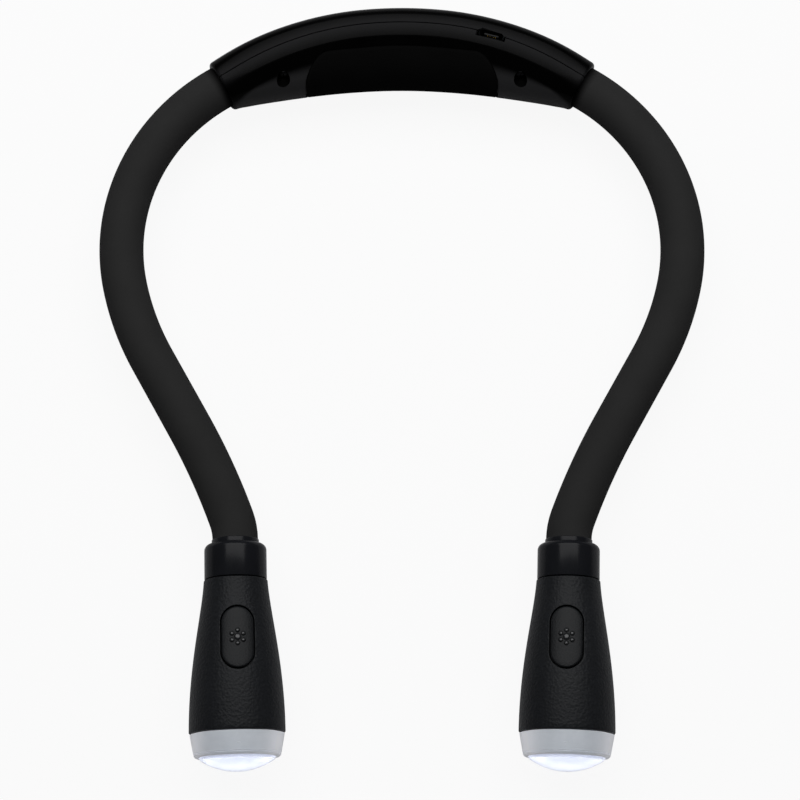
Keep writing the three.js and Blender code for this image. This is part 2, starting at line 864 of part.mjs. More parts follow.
function buttonPiece() {
  const underFlange = bodyFilled(head.wall + fit.clearance + button.flangeThickness);
  const cap = buttonPrism(0).intersect(bodyFilled(-button.proud));
  const flange = buttonPrism(button.gap + button.flangeWidth)
    .intersect(bodyFilled(head.wall + fit.clearance));
  const stem = toSolid(rodAlongZ(button.stemDiameter, stemEnd,
    flangeUnderside + button.flangeThickness).translate(0, buttonHeight, 0));
  return cap.add(flange).subtract(underFlange).add(stem);
}

function addSwitch(group, sideName) {
  const box = toSolid(block(switchUnit.width, switchUnit.width, switchUnit.height)
    .translate(0, buttonHeight, (switchTop + switchBottom) / 2));
  const bore = toSolid(rodAlongZ(switchUnit.boreDiameter, switchTop - switchUnit.boreDepth,
    switchTop + fit.overrun).translate(0, buttonHeight, 0));
  addPiece(group, `tact_switch_${sideName}`, toGeometry(box.subtract(bore)), finish.blackPlastic);

  const plunger = rodAlongZ(switchUnit.plungerDiameter,
    switchTop - switchUnit.boreDepth + button.travel + fit.clearance, plungerTop);
  addPiece(group, `switch_plunger_${sideName}`,
    sealed(plunger.translate(0, buttonHeight, 0)), finish.blackPlastic);

  const narrowEnd = buttonHeight + switchUnit.boardLength / 2;
  const reach = bodyRadius(narrowEnd) - head.wall - fit.clearance;
  const width = 2 * Math.sqrt(reach ** 2 - switchBoardTop ** 2);
  const board = block(width, switchUnit.boardLength, switchUnit.boardThickness)
    .translate(0, buttonHeight, switchBoardTop - switchUnit.boardThickness / 2);
  addPiece(group, `switch_board_${sideName}`, sealed(board), finish.board);
}

function collarPiece() {
  const back = bodySeam + fit.clearance;
  const bore = coreDiameter / 2 + fit.clearance;
  const shoulderTop = mouth - head.lipHeight;
  const spigot = bodySeamRadius - head.wall - fit.clearance;
  const shoulder = new THREE.EllipseCurve(
    collarRadius - head.shoulderRadius, shoulderTop - head.shoulderRadius,
    head.shoulderRadius, head.shoulderRadius, 0, Math.PI / 2).getPoints(facets.cornerSteps);
  return turned([
    [collarRadius, back],
    ...shoulder.map((point) => [point.x, point.y]),
    [lipRadius, shoulderTop],
    [lipRadius, mouth],
    [bore, mouth],
    [bore, mouth - head.collarWeb],
    [spigot - head.ringWall, mouth - head.collarWeb],
    [spigot - head.ringWall, bodySeam - head.spigotLength],
    [spigot, bodySeam - head.spigotLength],
    [spigot, back],
  ], facets.headSides);
}

const lensBack = head.lensThickness;

// Frosted ring that holds the lens and plugs into the front of the body
function ringPiece() {
  const ringBack = bodyFront - fit.clearance;
  const spigot = bodyFrontRadius - head.wall - fit.clearance;
  return turned([
    [ringFrontRadius - head.ringEdge, ringFront],
    [ringFrontRadius, ringFront + head.ringEdge],
    [ringBackRadius, ringBack],
    [spigot, ringBack],
    [spigot, bodyFront + head.spigotLength],
    [spigot - head.ringWall, bodyFront + head.spigotLength],
    [spigot - head.ringWall, lensBack + fit.clearance],
    [pocketRadius, lensBack + fit.clearance],
    [pocketRadius, ringFront],
  ], facets.headSides);
}

function lensPiece() {
  const sphere = (lensRadius ** 2 + head.domeSag ** 2) / (2 * head.domeSag);
  const halfAngle = Math.asin(lensRadius / sphere);
  const dome = Array.from({ length: facets.domeSteps + 1 }, (_, i) => {
    const angle = halfAngle * i / facets.domeSteps;
    return [sphere * Math.sin(angle), sphere * (1 - Math.cos(angle))];
  });
  return turned([...dome, [lensRadius, lensBack], [0, lensBack]], facets.headSides);
}

function addLamp(group, sideName) {
  const spigotBore = bodyFrontRadius - head.wall - fit.clearance - head.ringWall;
  const rim = spigotBore - fit.clearance;
  const front = lensBack + 2 * fit.clearance;
  const back = front + lamp.reflectorLength;
  const throat = lamp.reflectorThroat / 2;
  const cone = new THREE.QuadraticBezierCurve(
    new THREE.Vector2(rim - lamp.reflectorWall, front),
    new THREE.Vector2(rim - lamp.reflectorWall * 2, (front + back) / 2),
    new THREE.Vector2(throat, back),
  ).getPoints(facets.insideSteps);
  const inside = cone.map((point) => [point.x, point.y]);
  const outside = cone.map((point) => [point.x + lamp.reflectorWall, point.y]).reverse();
  addPiece(group, `reflector_${sideName}`, turned([...inside, ...outside],
    facets.reflectorSides), finish.mirror);

  const boardFront = back + fit.clearance;
  const boardRadius = bodyRadius(boardFront + lamp.boardThickness) - head.wall - fit.clearance;
  const board = rodAlongY(2 * boardRadius, boardFront, boardFront + lamp.boardThickness,
    facets.headSides);
  addPiece(group, `led_board_${sideName}`, sealed(board), finish.board);

  const [radius, foot] = [lamp.emitterDiameter / 2, boardFront - fit.clearance];
  const emitter = turned([
    [0, foot],
    [radius, foot],
    [radius, foot - lamp.emitterHeight / 2],
    [radius / 2, foot - lamp.emitterHeight],
    [0, foot - lamp.emitterHeight],
  ], facets.smallSides);
  addPiece(group, `led_emitter_${sideName}`, emitter, finish.emitter);
}

// Lamp head in a group of its own, its axis along the end of the arm
function addHead(route, sideName) {
  const end = route.at(route.reach);
  const group = new THREE.Group();
  group.rotation.set(0, -route.side * head.inwardRoll, end.heading + Math.PI / 2, "ZYX");
  group.position.set(
    end.x + mouth * Math.cos(end.heading),
    end.y + mouth * Math.sin(end.heading),
    0);
  light.add(group);
  addPiece(group, `collar_${sideName}`, collarPiece(), finish.collar);
  addPiece(group, `head_body_${sideName}`, toGeometry(headBody()), finish.textured);
  addPiece(group, `button_${sideName}`, toGeometry(buttonPiece()), finish.textured);
  addSwitch(group, sideName);
  addPiece(group, `lens_ring_${sideName}`, ringPiece(), finish.frosted);
  addPiece(group, `lens_${sideName}`, lensPiece(), finish.clear);
  addLamp(group, sideName);
}

addHousing();
addCell();
addCharging();
for (const [side, sideName] of [[-1, "left"], [1, "right"]]) {
  const route = new ArmRoute(side);
  addArm(route, sideName);
  addHead(route, sideName);
}

// Set down with the origin at the middle of the underside
light.updateMatrixWorld(true);
const extent = new THREE.Box3().setFromObject(light, true);
light.position.set(0, -(extent.min.y + extent.max.y) / 2, -extent.min.z);
light.updateMatrixWorld(true);

export default light;
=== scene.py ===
"""Neck-worn reading light: a crowned battery housing, two flexible arms and two lamp heads.

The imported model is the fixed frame. Lengths in the classes are in millimetres, in the frame of
the housing's spine: the origin is the centre of the curved spine and z = 0 is the middle plane.
A head is made in a frame of its own, from the tip of its lens along +Y towards the arm.
"""

import logging
import math
from dataclasses import dataclass, field, replace
from enum import Enum
from typing import Any, Callable, ClassVar, Iterable, Mapping, Optional, Sequence, Union

import bmesh
import bpy
from mathutils import Matrix, Vector


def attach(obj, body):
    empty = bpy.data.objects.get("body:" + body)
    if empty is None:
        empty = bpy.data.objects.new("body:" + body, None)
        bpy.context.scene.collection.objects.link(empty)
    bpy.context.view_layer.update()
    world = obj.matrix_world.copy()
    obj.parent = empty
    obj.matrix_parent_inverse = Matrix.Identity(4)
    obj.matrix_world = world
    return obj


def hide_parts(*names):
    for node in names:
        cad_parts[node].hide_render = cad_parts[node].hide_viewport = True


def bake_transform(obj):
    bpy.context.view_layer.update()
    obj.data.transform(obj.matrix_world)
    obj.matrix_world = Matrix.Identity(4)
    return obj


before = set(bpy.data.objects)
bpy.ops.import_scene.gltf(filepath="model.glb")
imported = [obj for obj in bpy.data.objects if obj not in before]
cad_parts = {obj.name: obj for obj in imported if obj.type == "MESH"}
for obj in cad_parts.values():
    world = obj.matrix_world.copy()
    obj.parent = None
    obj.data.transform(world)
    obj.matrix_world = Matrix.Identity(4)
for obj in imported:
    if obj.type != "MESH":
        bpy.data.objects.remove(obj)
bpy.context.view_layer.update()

MM = 0.001
# From the spine's frame to the row's frame, which stands the light on z = 0
SET_DOWN = Vector((0.0, 0.1885, 14.0))
log = logging.getLogger("reading_light")

Pair = tuple[float, float]
# Points of a mesh nearer to each other than the first are one; edges shorter than the second go
MERGE = 1e-5
CRUMB = 1e-6
# Edges that turn by more than this are softened where all sharp edges are
SHARP_EDGE = math.radians(40)
ACRYLIC_IOR = 1.49


class Side(Enum):
    """The wearer's two sides, as the sign of x."""

    LEFT = -1
    RIGHT = 1

    @property
    def label(self) -> str:
        """Ending that the names of this side's pieces have."""
        return self.name.lower()


class Cut(Enum):
    """What one solid does to another."""

    TAKE_AWAY = "DIFFERENCE"
    ADD = "UNION"
    KEEP_INSIDE = "INTERSECT"


def srgb(code: str) -> tuple[float, float, float, float]:
    """Turn a hexadecimal screen colour into linear values.

    Args:
        code: Six hexadecimal digits.

    Returns:
        Linear red, green and blue, and 1 for alpha.
    """
    parts = [int(code[i:i + 2], 16) / 255 for i in (0, 2, 4)]
    linear = [p / 12.92 if p <= 0.04045 else ((p + 0.055) / 1.055) ** 2.4 for p in parts]
    return (linear[0], linear[1], linear[2], 1.0)


# Shader maths


class Value:
    """A socket that gives a number, on which Python's operators add Math nodes."""

    def __init__(self, tree: "Tree", socket: bpy.types.NodeSocket) -> None:
        """Wrap a socket of a tree."""
        self.tree = tree
        self.socket = socket

    def _math(self, operation: str, *terms: Any) -> "Value":
        """Add a Math node on the given terms."""
        node = self.tree.add("ShaderNodeMath", {"operation": operation}, dict(enumerate(terms)))
        return Value(self.tree, node.outputs[0])

    def __add__(self, other: Any) -> "Value":
        """Sum."""
        return self._math("ADD", self, other)

    __radd__ = __add__

    def __sub__(self, other: Any) -> "Value":
        """Difference."""
        return self._math("SUBTRACT", self, other)

    def __rsub__(self, other: Any) -> "Value":
        """Difference from a number."""
        return self._math("SUBTRACT", other, self)

    def __mul__(self, other: Any) -> "Value":
        """Product."""
        return self._math("MULTIPLY", self, other)

    def larger(self, other: Any) -> "Value":
        """The larger of this and another value."""
        return self._math("MAXIMUM", self, other)

    def size(self) -> "Value":
        """The value without its sign."""
        return self._math("ABSOLUTE", self)

    def turn_from(self, other: Any) -> "Value":
        """Angle whose sine and cosine are in the ratio of this to another value."""
        return self._math("ARCTAN2", self, other)

    def share(self, low: "Term", high: "Term") -> "Value":
        """Smooth step from 0 at low to 1 at high."""
        node = self.tree.add(
            "ShaderNodeMapRange", {"interpolation_type": "SMOOTHSTEP"},
            {"Value": self, "From Min": low, "From Max": high})
        return Value(self.tree, node.outputs["Result"])


Term = Union[Value, bpy.types.NodeSocket, float, Sequence[float]]


class Tree:
    """Node tree of a material or world that is built node by node."""

    def __init__(self, owner: Union[bpy.types.Material, bpy.types.World]) -> None:
        """Empty the owner's tree."""
        owner.use_nodes = True
        self.nodes = owner.node_tree.nodes
        self.links = owner.node_tree.links
        self.nodes.clear()

    def add(self, kind: str, settings: Optional[Mapping[str, Any]] = None,
            sockets: Optional[Mapping[Union[str, int], Term]] = None) -> bpy.types.Node:
        """Add a node.

        Args:
            kind: Type of the node.
            settings: Properties, set before the sockets.
            sockets: A constant or a link for each named or numbered input.

        Returns:
            The node.
        """
        node = self.nodes.new(kind)
        for name, setting in (settings or {}).items():
            setattr(node, name, setting)
        for name, term in (sockets or {}).items():
            if isinstance(term, Value):
                self.links.new(term.socket, node.inputs[name])
            elif isinstance(term, bpy.types.NodeSocket):
                self.links.new(term, node.inputs[name])
            else:
                node.inputs[name].default_value = term
        return node

    def place(self, scale: Sequence[float] = (1, 1, 1), turn: float = 0.0) -> bpy.types.NodeSocket:
        """Object coordinates, stretched and turned about Z."""
        here = self.add("ShaderNodeTexCoord").outputs["Object"]
        return self.add("ShaderNodeMapping", {}, {
            "Vector": here, "Scale": scale, "Rotation": (0, 0, turn)}).outputs["Vector"]

    def noise(self, size: float, detail: float = 2.0, rough: float = 0.5,
              stretch: Sequence[float] = (1, 1, 1)) -> Value:
        """Even noise about 0.5, with features of a size in millimetres."""
        node = self.add("ShaderNodeTexNoise", {}, {
            "Vector": self.place(stretch), "Scale": 1 / (size * MM), "Detail": detail,
            "Roughness": rough})
        return Value(self, node.outputs["Fac"])

    def grains(self, size: float) -> Value:
        """Distance from the middle of grains of a size in millimetres."""
        node = self.add("ShaderNodeTexVoronoi", {"feature": "F1"}, {
            "Vector": self.place(), "Scale": 1 / (size * MM)})
        return Value(self, node.outputs["Distance"])

    def split(self, vector: bpy.types.NodeSocket, axis: str) -> Value:
        """Part of a vector along an axis."""
        return Value(self, self.add("ShaderNodeSeparateXYZ", {}, {0: vector}).outputs[axis])

    def reach(self) -> Value:
        """Distance from the vertical axis through the object's origin, in metres."""
        return Value(self, self.add("ShaderNodeVectorMath", {"operation": "LENGTH"}, {
            0: self.place((1, 1, 0))}).outputs["Value"])

    def facing(self, axis: str) -> Value:
        """How far the surface looks along an axis, from -1 to 1."""
        return self.split(self.add("ShaderNodeNewGeometry").outputs["Normal"], axis)

    def blend(self, share: Term, first: Term, second: Term) -> bpy.types.NodeSocket:
        """Colour between two others."""
        node = self.add("ShaderNodeMix", {"data_type": "RGBA"}, {0: share, 6: first, 7: second})
        return node.outputs[2]

    def relief(self, height: Value, depth: float,
               under: Optional[bpy.types.NodeSocket] = None) -> bpy.types.NodeSocket:
        """Normal of a bumpy surface, depth being the bumps' height in millimetres."""
        sockets: dict[Union[str, int], Term] = {
            "Height": height, "Distance": depth * MM, "Strength": 1.0}
        if under is not None:
            sockets["Normal"] = under
        return self.add("ShaderNodeBump", {}, sockets).outputs["Normal"]

    def surface(self, sockets: Mapping[Union[str, int], Term]) -> None:
        """End the tree in one principled surface."""
        shader = self.add("ShaderNodeBsdfPrincipled", {}, sockets)
        self.add("ShaderNodeOutputMaterial", {}, {"Surface": shader.outputs[0]})


# Finishes


@dataclass(frozen=True)
class Finish:
    """A material, made once and shared by the pieces that have it."""

    name: str
    colour: str = "808080"
    second: str = "808080"
    made: ClassVar[dict[str, bpy.types.Material]] = {}

    def material(self) -> bpy.types.Material:
        """The material of this finish, made at its first use."""
        if self.name not in self.made:
            self.made[self.name] = bpy.data.materials.new(self.name)
            self.fill(Tree(self.made[self.name]))
        return self.made[self.name]

    def paint(self, tree: Tree, share: Value) -> bpy.types.NodeSocket:
        """Colour for a share from the first colour to the second."""
        return tree.blend(share, srgb(self.colour), srgb(self.second))

    def fill(self, tree: Tree) -> None:
        """Build the node tree; each kind of finish has its own."""
        raise NotImplementedError


@dataclass(frozen=True)
class GlossyMoulding(Finish):
    """Polished black moulding with a faint orange peel and a few finger marks."""

    colour: str = "0b0b0c"
    second: str = "141416"
    gloss: float = 0.16
    marks: float = 0.14
    ior: float = 1.14
    level: float = 0.5
    cloud_size: float = 14.0
    smear_size: float = 6.0
    dust_size: float = 0.35
    dusting: float = 0.2
    peel_size: float = 1.6
    peel_depth: float = 0.006
    coat_gloss: float = 0.22

    def dullness(self, tree: Tree) -> Term:
        """How much rougher the moulding is where it isn't polished."""
        return 0.0

    def lacquer(self, tree: Tree) -> Term:
        """Share of the surface that has a clear coat."""
        return 0.0

    def fill(self, tree: Tree) -> None:
        """Colour clouds, finger marks in the roughness, and a shallow peel."""
        clouds = tree.noise(self.cloud_size, detail=3, rough=0.55)
        smear = tree.noise(self.smear_size, detail=4, rough=0.6, stretch=(1, 0.45, 1))
        dust = tree.noise(self.dust_size, detail=1).share(0.72, 0.8)
        peel = tree.noise(self.peel_size, detail=2, rough=0.4)
        tree.surface({
            "Base Color": self.paint(tree, clouds),
            "Roughness": smear.share(0.5, 0.78) * self.marks + dust * self.dusting
            + self.dullness(tree) + self.gloss,
            "IOR": self.ior,
            "Specular IOR Level": self.level,
            "Coat Weight": self.lacquer(tree),
            "Coat Roughness": self.coat_gloss,
            "Normal": tree.relief(peel, self.peel_depth),
        })


@dataclass(frozen=True)
class HousingMoulding(GlossyMoulding):
    """Black moulding with a painted sheen, greyer, along the seam and a painted reflection of the
    floor, a paler grey, on the face towards the neck.
    """

    # Colours of the painted sheen along the seam and of the painted reflection on the face
    seam: str = "19191a"
    face: str = "2b2b2c"
    # The seam's distance from the spine's centre, and how far the painted sheen reaches to either
    # side
    seam_reach: float = 110.7
    inner_wear: float = 4.6
    outer_wear: float = 4.2
    # Distance of the bevel's foot from that centre, its rise per length towards the ends, and the
    # fade before it, which gets shorter in the same way
    foot: float = 102.6
    rise: float = 0.012
    fade: float = 8.2
    fade_loss: float = 0.16
    least_fade: float = 0.8
    # How far a surface looks along an axis where a change starts and where it ends
    etched_looks: Pair = (-0.5, -0.2)
    recess_looks: Pair = (-0.3, -0.1)
    recess_dullness: float = 0.6
    back_looks: Pair = (0.84, 0.97)
    under_looks: Pair = (0.3, 0.8)

    def face_share(self, tree: Tree, reach: Value) -> Value:
        """From 0 at the bevel's foot to 1 on the face, sooner towards the housing's ends."""
        across = tree.split(tree.place(), "X").size()
        fade = (self.fade * MM - across * self.fade_loss).larger(self.least_fade * MM)
        foot = across * self.rise + self.foot * MM
        return 1 - reach.share(foot - fade, foot)

    def paint(self, tree: Tree, share: Value) -> bpy.types.NodeSocket:
        """Black, the painted sheen of the strip by the seam and the painted reflection on the face.
        """
        reach = tree.reach()
        inner, outer = self.seam_reach - self.inner_wear, self.seam_reach + self.outer_wear
        # Painted sheen: a greyer strip to either side of the seam
        seam_sheen = (reach.share(inner * MM, self.seam_reach * MM)
                * (1 - reach.share(self.seam_reach * MM, outer * MM)))
        # Painted reflection of the floor: the face is paler where it looks towards the neck
        floor_reflection = self.face_share(tree, reach) * (1 - tree.facing("Y").share(*self.etched_looks))
        strip = tree.blend(seam_sheen, super().paint(tree, share), srgb(self.seam))
        return tree.blend(floor_reflection, strip, srgb(self.face))

    def dullness(self, tree: Tree) -> Term:
        """Dull walls in the recesses of the face."""
        return (self.face_share(tree, tree.reach()) * tree.facing("Y").share(*self.recess_looks)
                * self.recess_dullness)

    def lacquer(self, tree: Tree) -> Term:
        """Clear coat on the back and the underside."""
        under = (tree.facing("Z") * -1).share(*self.under_looks)
        return tree.facing("Y").share(*self.back_looks).larger(under)


@dataclass(frozen=True)
class GrainedMoulding(Finish):
    """Spark-eroded black moulding: fine even grains that break up the highlights."""

    colour: str = "131416"
    second: str = "1c1e21"
    grain: float = 0.8
    depth: float = 0.1
    rough: float = 0.46
    ior: float = 1.155
    cloud_size: float = 9.0
    fine_share: float = 0.6
    fine_dulling: float = 0.18
    cloud_dulling: float = 0.1

    def fill(self, tree: Tree) -> None:
        """Grains in the relief, and colour and roughness that follow them."""
        grain = tree.grains(self.grain)
        fine = tree.noise(self.grain * self.fine_share, detail=3, rough=0.6)
        clouds = tree.noise(self.cloud_size)
        tree.surface({
            "Base Color": self.paint(tree, clouds * 0.3 + fine.share(0.3, 0.72) * 0.7),
            "Roughness": fine * self.fine_dulling + clouds * self.cloud_dulling
            + (self.rough - (self.fine_dulling + self.cloud_dulling) / 2),
            "Specular IOR Level": 1.0,
            "IOR": self.ior,
            "Normal": tree.relief(fine, self.depth * self.fine_share, under=tree.relief(
                grain, self.depth)),
        })


@dataclass(frozen=True)
class SoftRubber(Finish):
    """Matte rubber with a fine dull skin and faint handling marks."""

    colour: str = "161617"
    second: str = "202021"
    rough: float = 0.62
    grain: float = 0.22
    depth: float = 0.012
    ior: float = 1.15
    cloud_size: float = 11.0
    cloud_depth: float = 0.03
    patch_size: float = 4.0

    def fill(self, tree: Tree) -> None:
        """A fine skin, broad dull clouds and small polished patches."""
        skin = tree.noise(self.grain, rough=0.6)
        clouds = tree.noise(self.cloud_size, detail=3)
        rubbed = tree.noise(self.patch_size, detail=3, rough=0.55).share(0.56, 0.75)
        tree.surface({
            "Base Color": self.paint(tree, clouds * 0.7 + skin * 0.3),
            "Roughness": self.rough + clouds * 0.12 - rubbed * 0.07,
            "IOR": self.ior,
            "Normal": tree.relief(skin, self.depth, under=tree.relief(
                clouds, self.cloud_depth)),
        })


@dataclass(frozen=True)
class SleeveRubber(SoftRubber):
    """Rubber of the sleeves, with a painted shadow of the housing's lip, near black, where it enters
    the housing.
    """

    # Colour of the painted shadow, and the turns where it is full and where it has gone
    grime: str = "060606"
    entry: float = math.radians(31.0)
    clean: float = math.radians(32.6)

    def paint(self, tree: Tree, share: Value) -> bpy.types.NodeSocket:
        """Painted shadow: darker by the turn round the housing's spine that the housing ends at."""
        across, along = (tree.split(tree.place(), axis) for axis in "XY")
        black = 1 - across.size().turn_from(along).share(self.entry, self.clean)
        return tree.blend(black, super().paint(tree, share), srgb(self.grime))


@dataclass(frozen=True)
class FrostedPlastic(Finish):
    """Cloudy pale plastic that lets some light through."""

    colour: str = "c8ced5"
    second: str = "dfe4ea"
    # Colour of the painted light on the flanks, and the strength of their painted glow
    flank: str = "f7f8fc"
    glow: float = 0.09
    cloud_size: float = 3.5
    frost_size: float = 0.16
    frost_depth: float = 0.008

    def fill(self, tree: Tree) -> None:
        """Milky clouds, flanks painted paler with a painted glow, and a fine frost."""
        clouds = tree.noise(self.cloud_size, detail=3, rough=0.6)
        frost = tree.noise(self.frost_size, rough=0.6)
        # Painted light: the flanks, which look less far up, are paler and glow
        flank = 1 - tree.facing("Z").share(0.3, 0.95)
        tree.surface({
            "Base Color": tree.blend(flank, self.paint(tree, clouds), srgb(self.flank)),
            "Roughness": frost * 0.2 + 0.28,
            "Transmission Weight": 0.25,
            "Emission Color": tree.blend(flank, srgb("000000"), srgb(self.flank)),
            "Emission Strength": self.glow,
            "IOR": ACRYLIC_IOR,
            "Normal": tree.relief(frost, self.frost_depth),
        })


@dataclass(frozen=True)
class LensPlastic(Finish):
    """Clear lens with a lightly hazy skin and moulding ripples."""

    colour: str = "eef2ff"
    second: str = "ffffff"
    # Grey of the painted glow at the rim, and the strength of the painted glow
    rim: str = "6a6d73"
    glow: float = 0.2
    ripple_size: float = 2.4
    ripple_depth: float = 0.02
    haze_size: float = 0.8

    def fill(self, tree: Tree) -> None:
        """Slight ripples in a nearly clear, milky body, with a painted glow that is white but grey
        at its rim.
        """
        ripple = tree.noise(self.ripple_size)
        haze = tree.noise(self.haze_size, detail=3, rough=0.6)
        tree.surface({
            "Base Color": self.paint(tree, haze * 0.3),
            "Roughness": haze * 0.1 + 0.12,
            "Transmission Weight": 0.92,
            # Painted glow: white, and grey where the rim looks upwards
            "Emission Color": tree.blend(
                tree.facing("Z").share(0.3, 0.48), srgb(self.colour), srgb(self.rim)),
            "Emission Strength": self.glow,
            "IOR": ACRYLIC_IOR,
            "Normal": tree.relief(ripple, self.ripple_depth),
        })


@dataclass(frozen=True)
class Steel(Finish):
    """Metal with fine brush lines and small stains."""

    colour: str = "a3a5a8"
    second: str = "6f7072"
    rough: float = 0.26
    stretch: Sequence[float] = (1, 1, 9)
    line_size: float = 0.5
    line_depth: float = 0.004
    stain_size: float = 1.4

    def fill(self, tree: Tree) -> None:
        """Brush lines along one axis and a few dull stains."""
        lines = tree.noise(self.line_size, stretch=self.stretch)
        stains = tree.noise(self.stain_size, detail=4, rough=0.6).share(0.5, 0.8)
        tree.surface({
            "Base Color": self.paint(tree, stains),
            "Metallic": 1.0,
            "Roughness": self.rough + lines * 0.1 + stains * 0.15,
            "Normal": tree.relief(lines, self.line_depth),
        })


@dataclass(frozen=True)
class CircuitBoard(Finish):
    """Solder mask over tracks, with the weave of the glass cloth."""

    colour: str = "174a2a"
    second: str = "256b3d"
    tracks_per_metre: float = 420.0
    track_turn: float = 0.6
    track_depth: float = 0.02
    weave_size: float = 0.3
    weave_depth: float = 0.005

    def fill(self, tree: Tree) -> None:
        """Straight tracks that show through the mask."""
        bricks = tree.add("ShaderNodeTexBrick", {"offset": 0.4}, {
            "Vector": tree.place(turn=self.track_turn), "Scale": self.tracks_per_metre,
            "Mortar Size": 0.06})
        tracks = Value(tree, bricks.outputs["Fac"])
        weave = tree.noise(self.weave_size, detail=1)
        tree.surface({
            "Base Color": self.paint(tree, tracks),
            "Roughness": weave * 0.2 + 0.35,
            "Normal": tree.relief(tracks, self.track_depth, under=tree.relief(
                weave, self.weave_depth)),
        })


@dataclass(frozen=True)
class Banded(Finish):
    """Skin with soft bands or creases in its colour, roughness and relief."""

    colour: str = "2a5c9c"
    second: str = "214a80"
    band_size: float = 1.2
    band_depth: float = 0.05
    rough: float = 0.3
    metal: float = 0.0
    coat: float = 0.0
    detail: float = 3.0
    fineness: float = 0.6
    stretch: Sequence[float] = (1, 1, 1)

    def fill(self, tree: Tree) -> None:
        """Bands that lie along or across the piece, or a fine powder where they are small."""
        bands = tree.noise(self.band_size, self.detail, self.fineness, self.stretch)
        tree.surface({
            "Base Color": self.paint(tree, bands),
            "Metallic": self.metal,
            "Roughness": bands * 0.2 + self.rough,
            "Coat Weight": self.coat,
            "Normal": tree.relief(bands, self.band_depth),
        })


HOUSING_GLOSS = HousingMoulding("housing_polish", "020202", "040404", 0.23, 0.1, 1.085)
COLLAR_GLOSS = GlossyMoulding("collar_polish", "131417", "191a1d", 0.2, 0.1, 1.14, 1.0)
PAD_SOFT = SoftRubber("pad_skin", "070707", "0c0c0c", 0.85, 0.3, 0.02, 1.05)
SLEEVE_RUBBER = SleeveRubber("sleeve_skin", "242424", "2c2c2c", ior=1.08)
HEAD_GRAIN = GrainedMoulding("head_grain")
BUTTON_GRAIN = GrainedMoulding("button_grain", "0f1012", "1a1c1e", 0.5, 0.03, 0.42)
DOT_GLOSS = GlossyMoulding("button_dots", "1c1d1f", "242528", 0.22, 0.05, 1.45)
# Dark discs under the button's dots: a painted shadow round each dot
DOT_SHADOW_BLACK = GrainedMoulding("dot_seats", "040405", "070708", 0.3, 0.01, 0.6)
RING_FROST = FrostedPlastic("ring_frost")
LENS_CLEAR = LensPlastic("lens_plastic")
SCREW_STEEL = Steel("blackened_screw", "161617", "0c0c0d", 0.4)
# Dark grey rather than bright tin: painted shade of the port's recess
SHADED_SOCKET_STEEL = Steel("socket_tin", "3c3e41", "2c2d2f", 0.3)
CONTACT_GOLD = Steel("contact_gold", "d9b45a", "a8863c", 0.22)
MIRROR = Steel("reflector_mirror", "e6e8ec", "c9ccd1", 0.05, (1, 1, 1))
BOARD = CircuitBoard("board_lacquer")
CELL = Banded("cell_film", stretch=(0.2, 1, 1))
GEL = Banded("emitter_gel", "e8cf5a", "f6e79a", 0.12, 0.01, 0.25, coat=0.5, detail=2.0)
INNER_BLACK = GrainedMoulding("inner_black", "0e0e0f", "161617", 0.4, 0.01, 0.5)
CORE_WIRE = Banded("wound_wire", "8a8c8e", "6a6c6e", 0.9, 0.04, 0.35, metal=0.9, detail=2.0,
                   fineness=0.5)


# Modelling


def linked(name: str, data: Union[bpy.types.Mesh, bpy.types.Light, bpy.types.Camera]
           ) -> bpy.types.Object:
    """New object in the scene."""
    made = bpy.data.objects.new(name, data)
    bpy.context.scene.collection.objects.link(made)
    return made


def quarter_turn(steps: int) -> list[float]:
    """Angles from 0 to a right angle."""
    return [math.pi / 2 * i / steps for i in range(steps + 1)]


def curve_point(share: float, *points: Pair) -> Pair:
    """Point of a Bezier curve, from its first control point, 0, to its last, 1."""
    last = len(points) - 1
    weights = [math.comb(last, i) * (1 - share) ** (last - i) * share ** i
               for i in range(last + 1)]
    return (sum(weight * x for weight, (x, _) in zip(weights, points)),
            sum(weight * y for weight, (_, y) in zip(weights, points)))


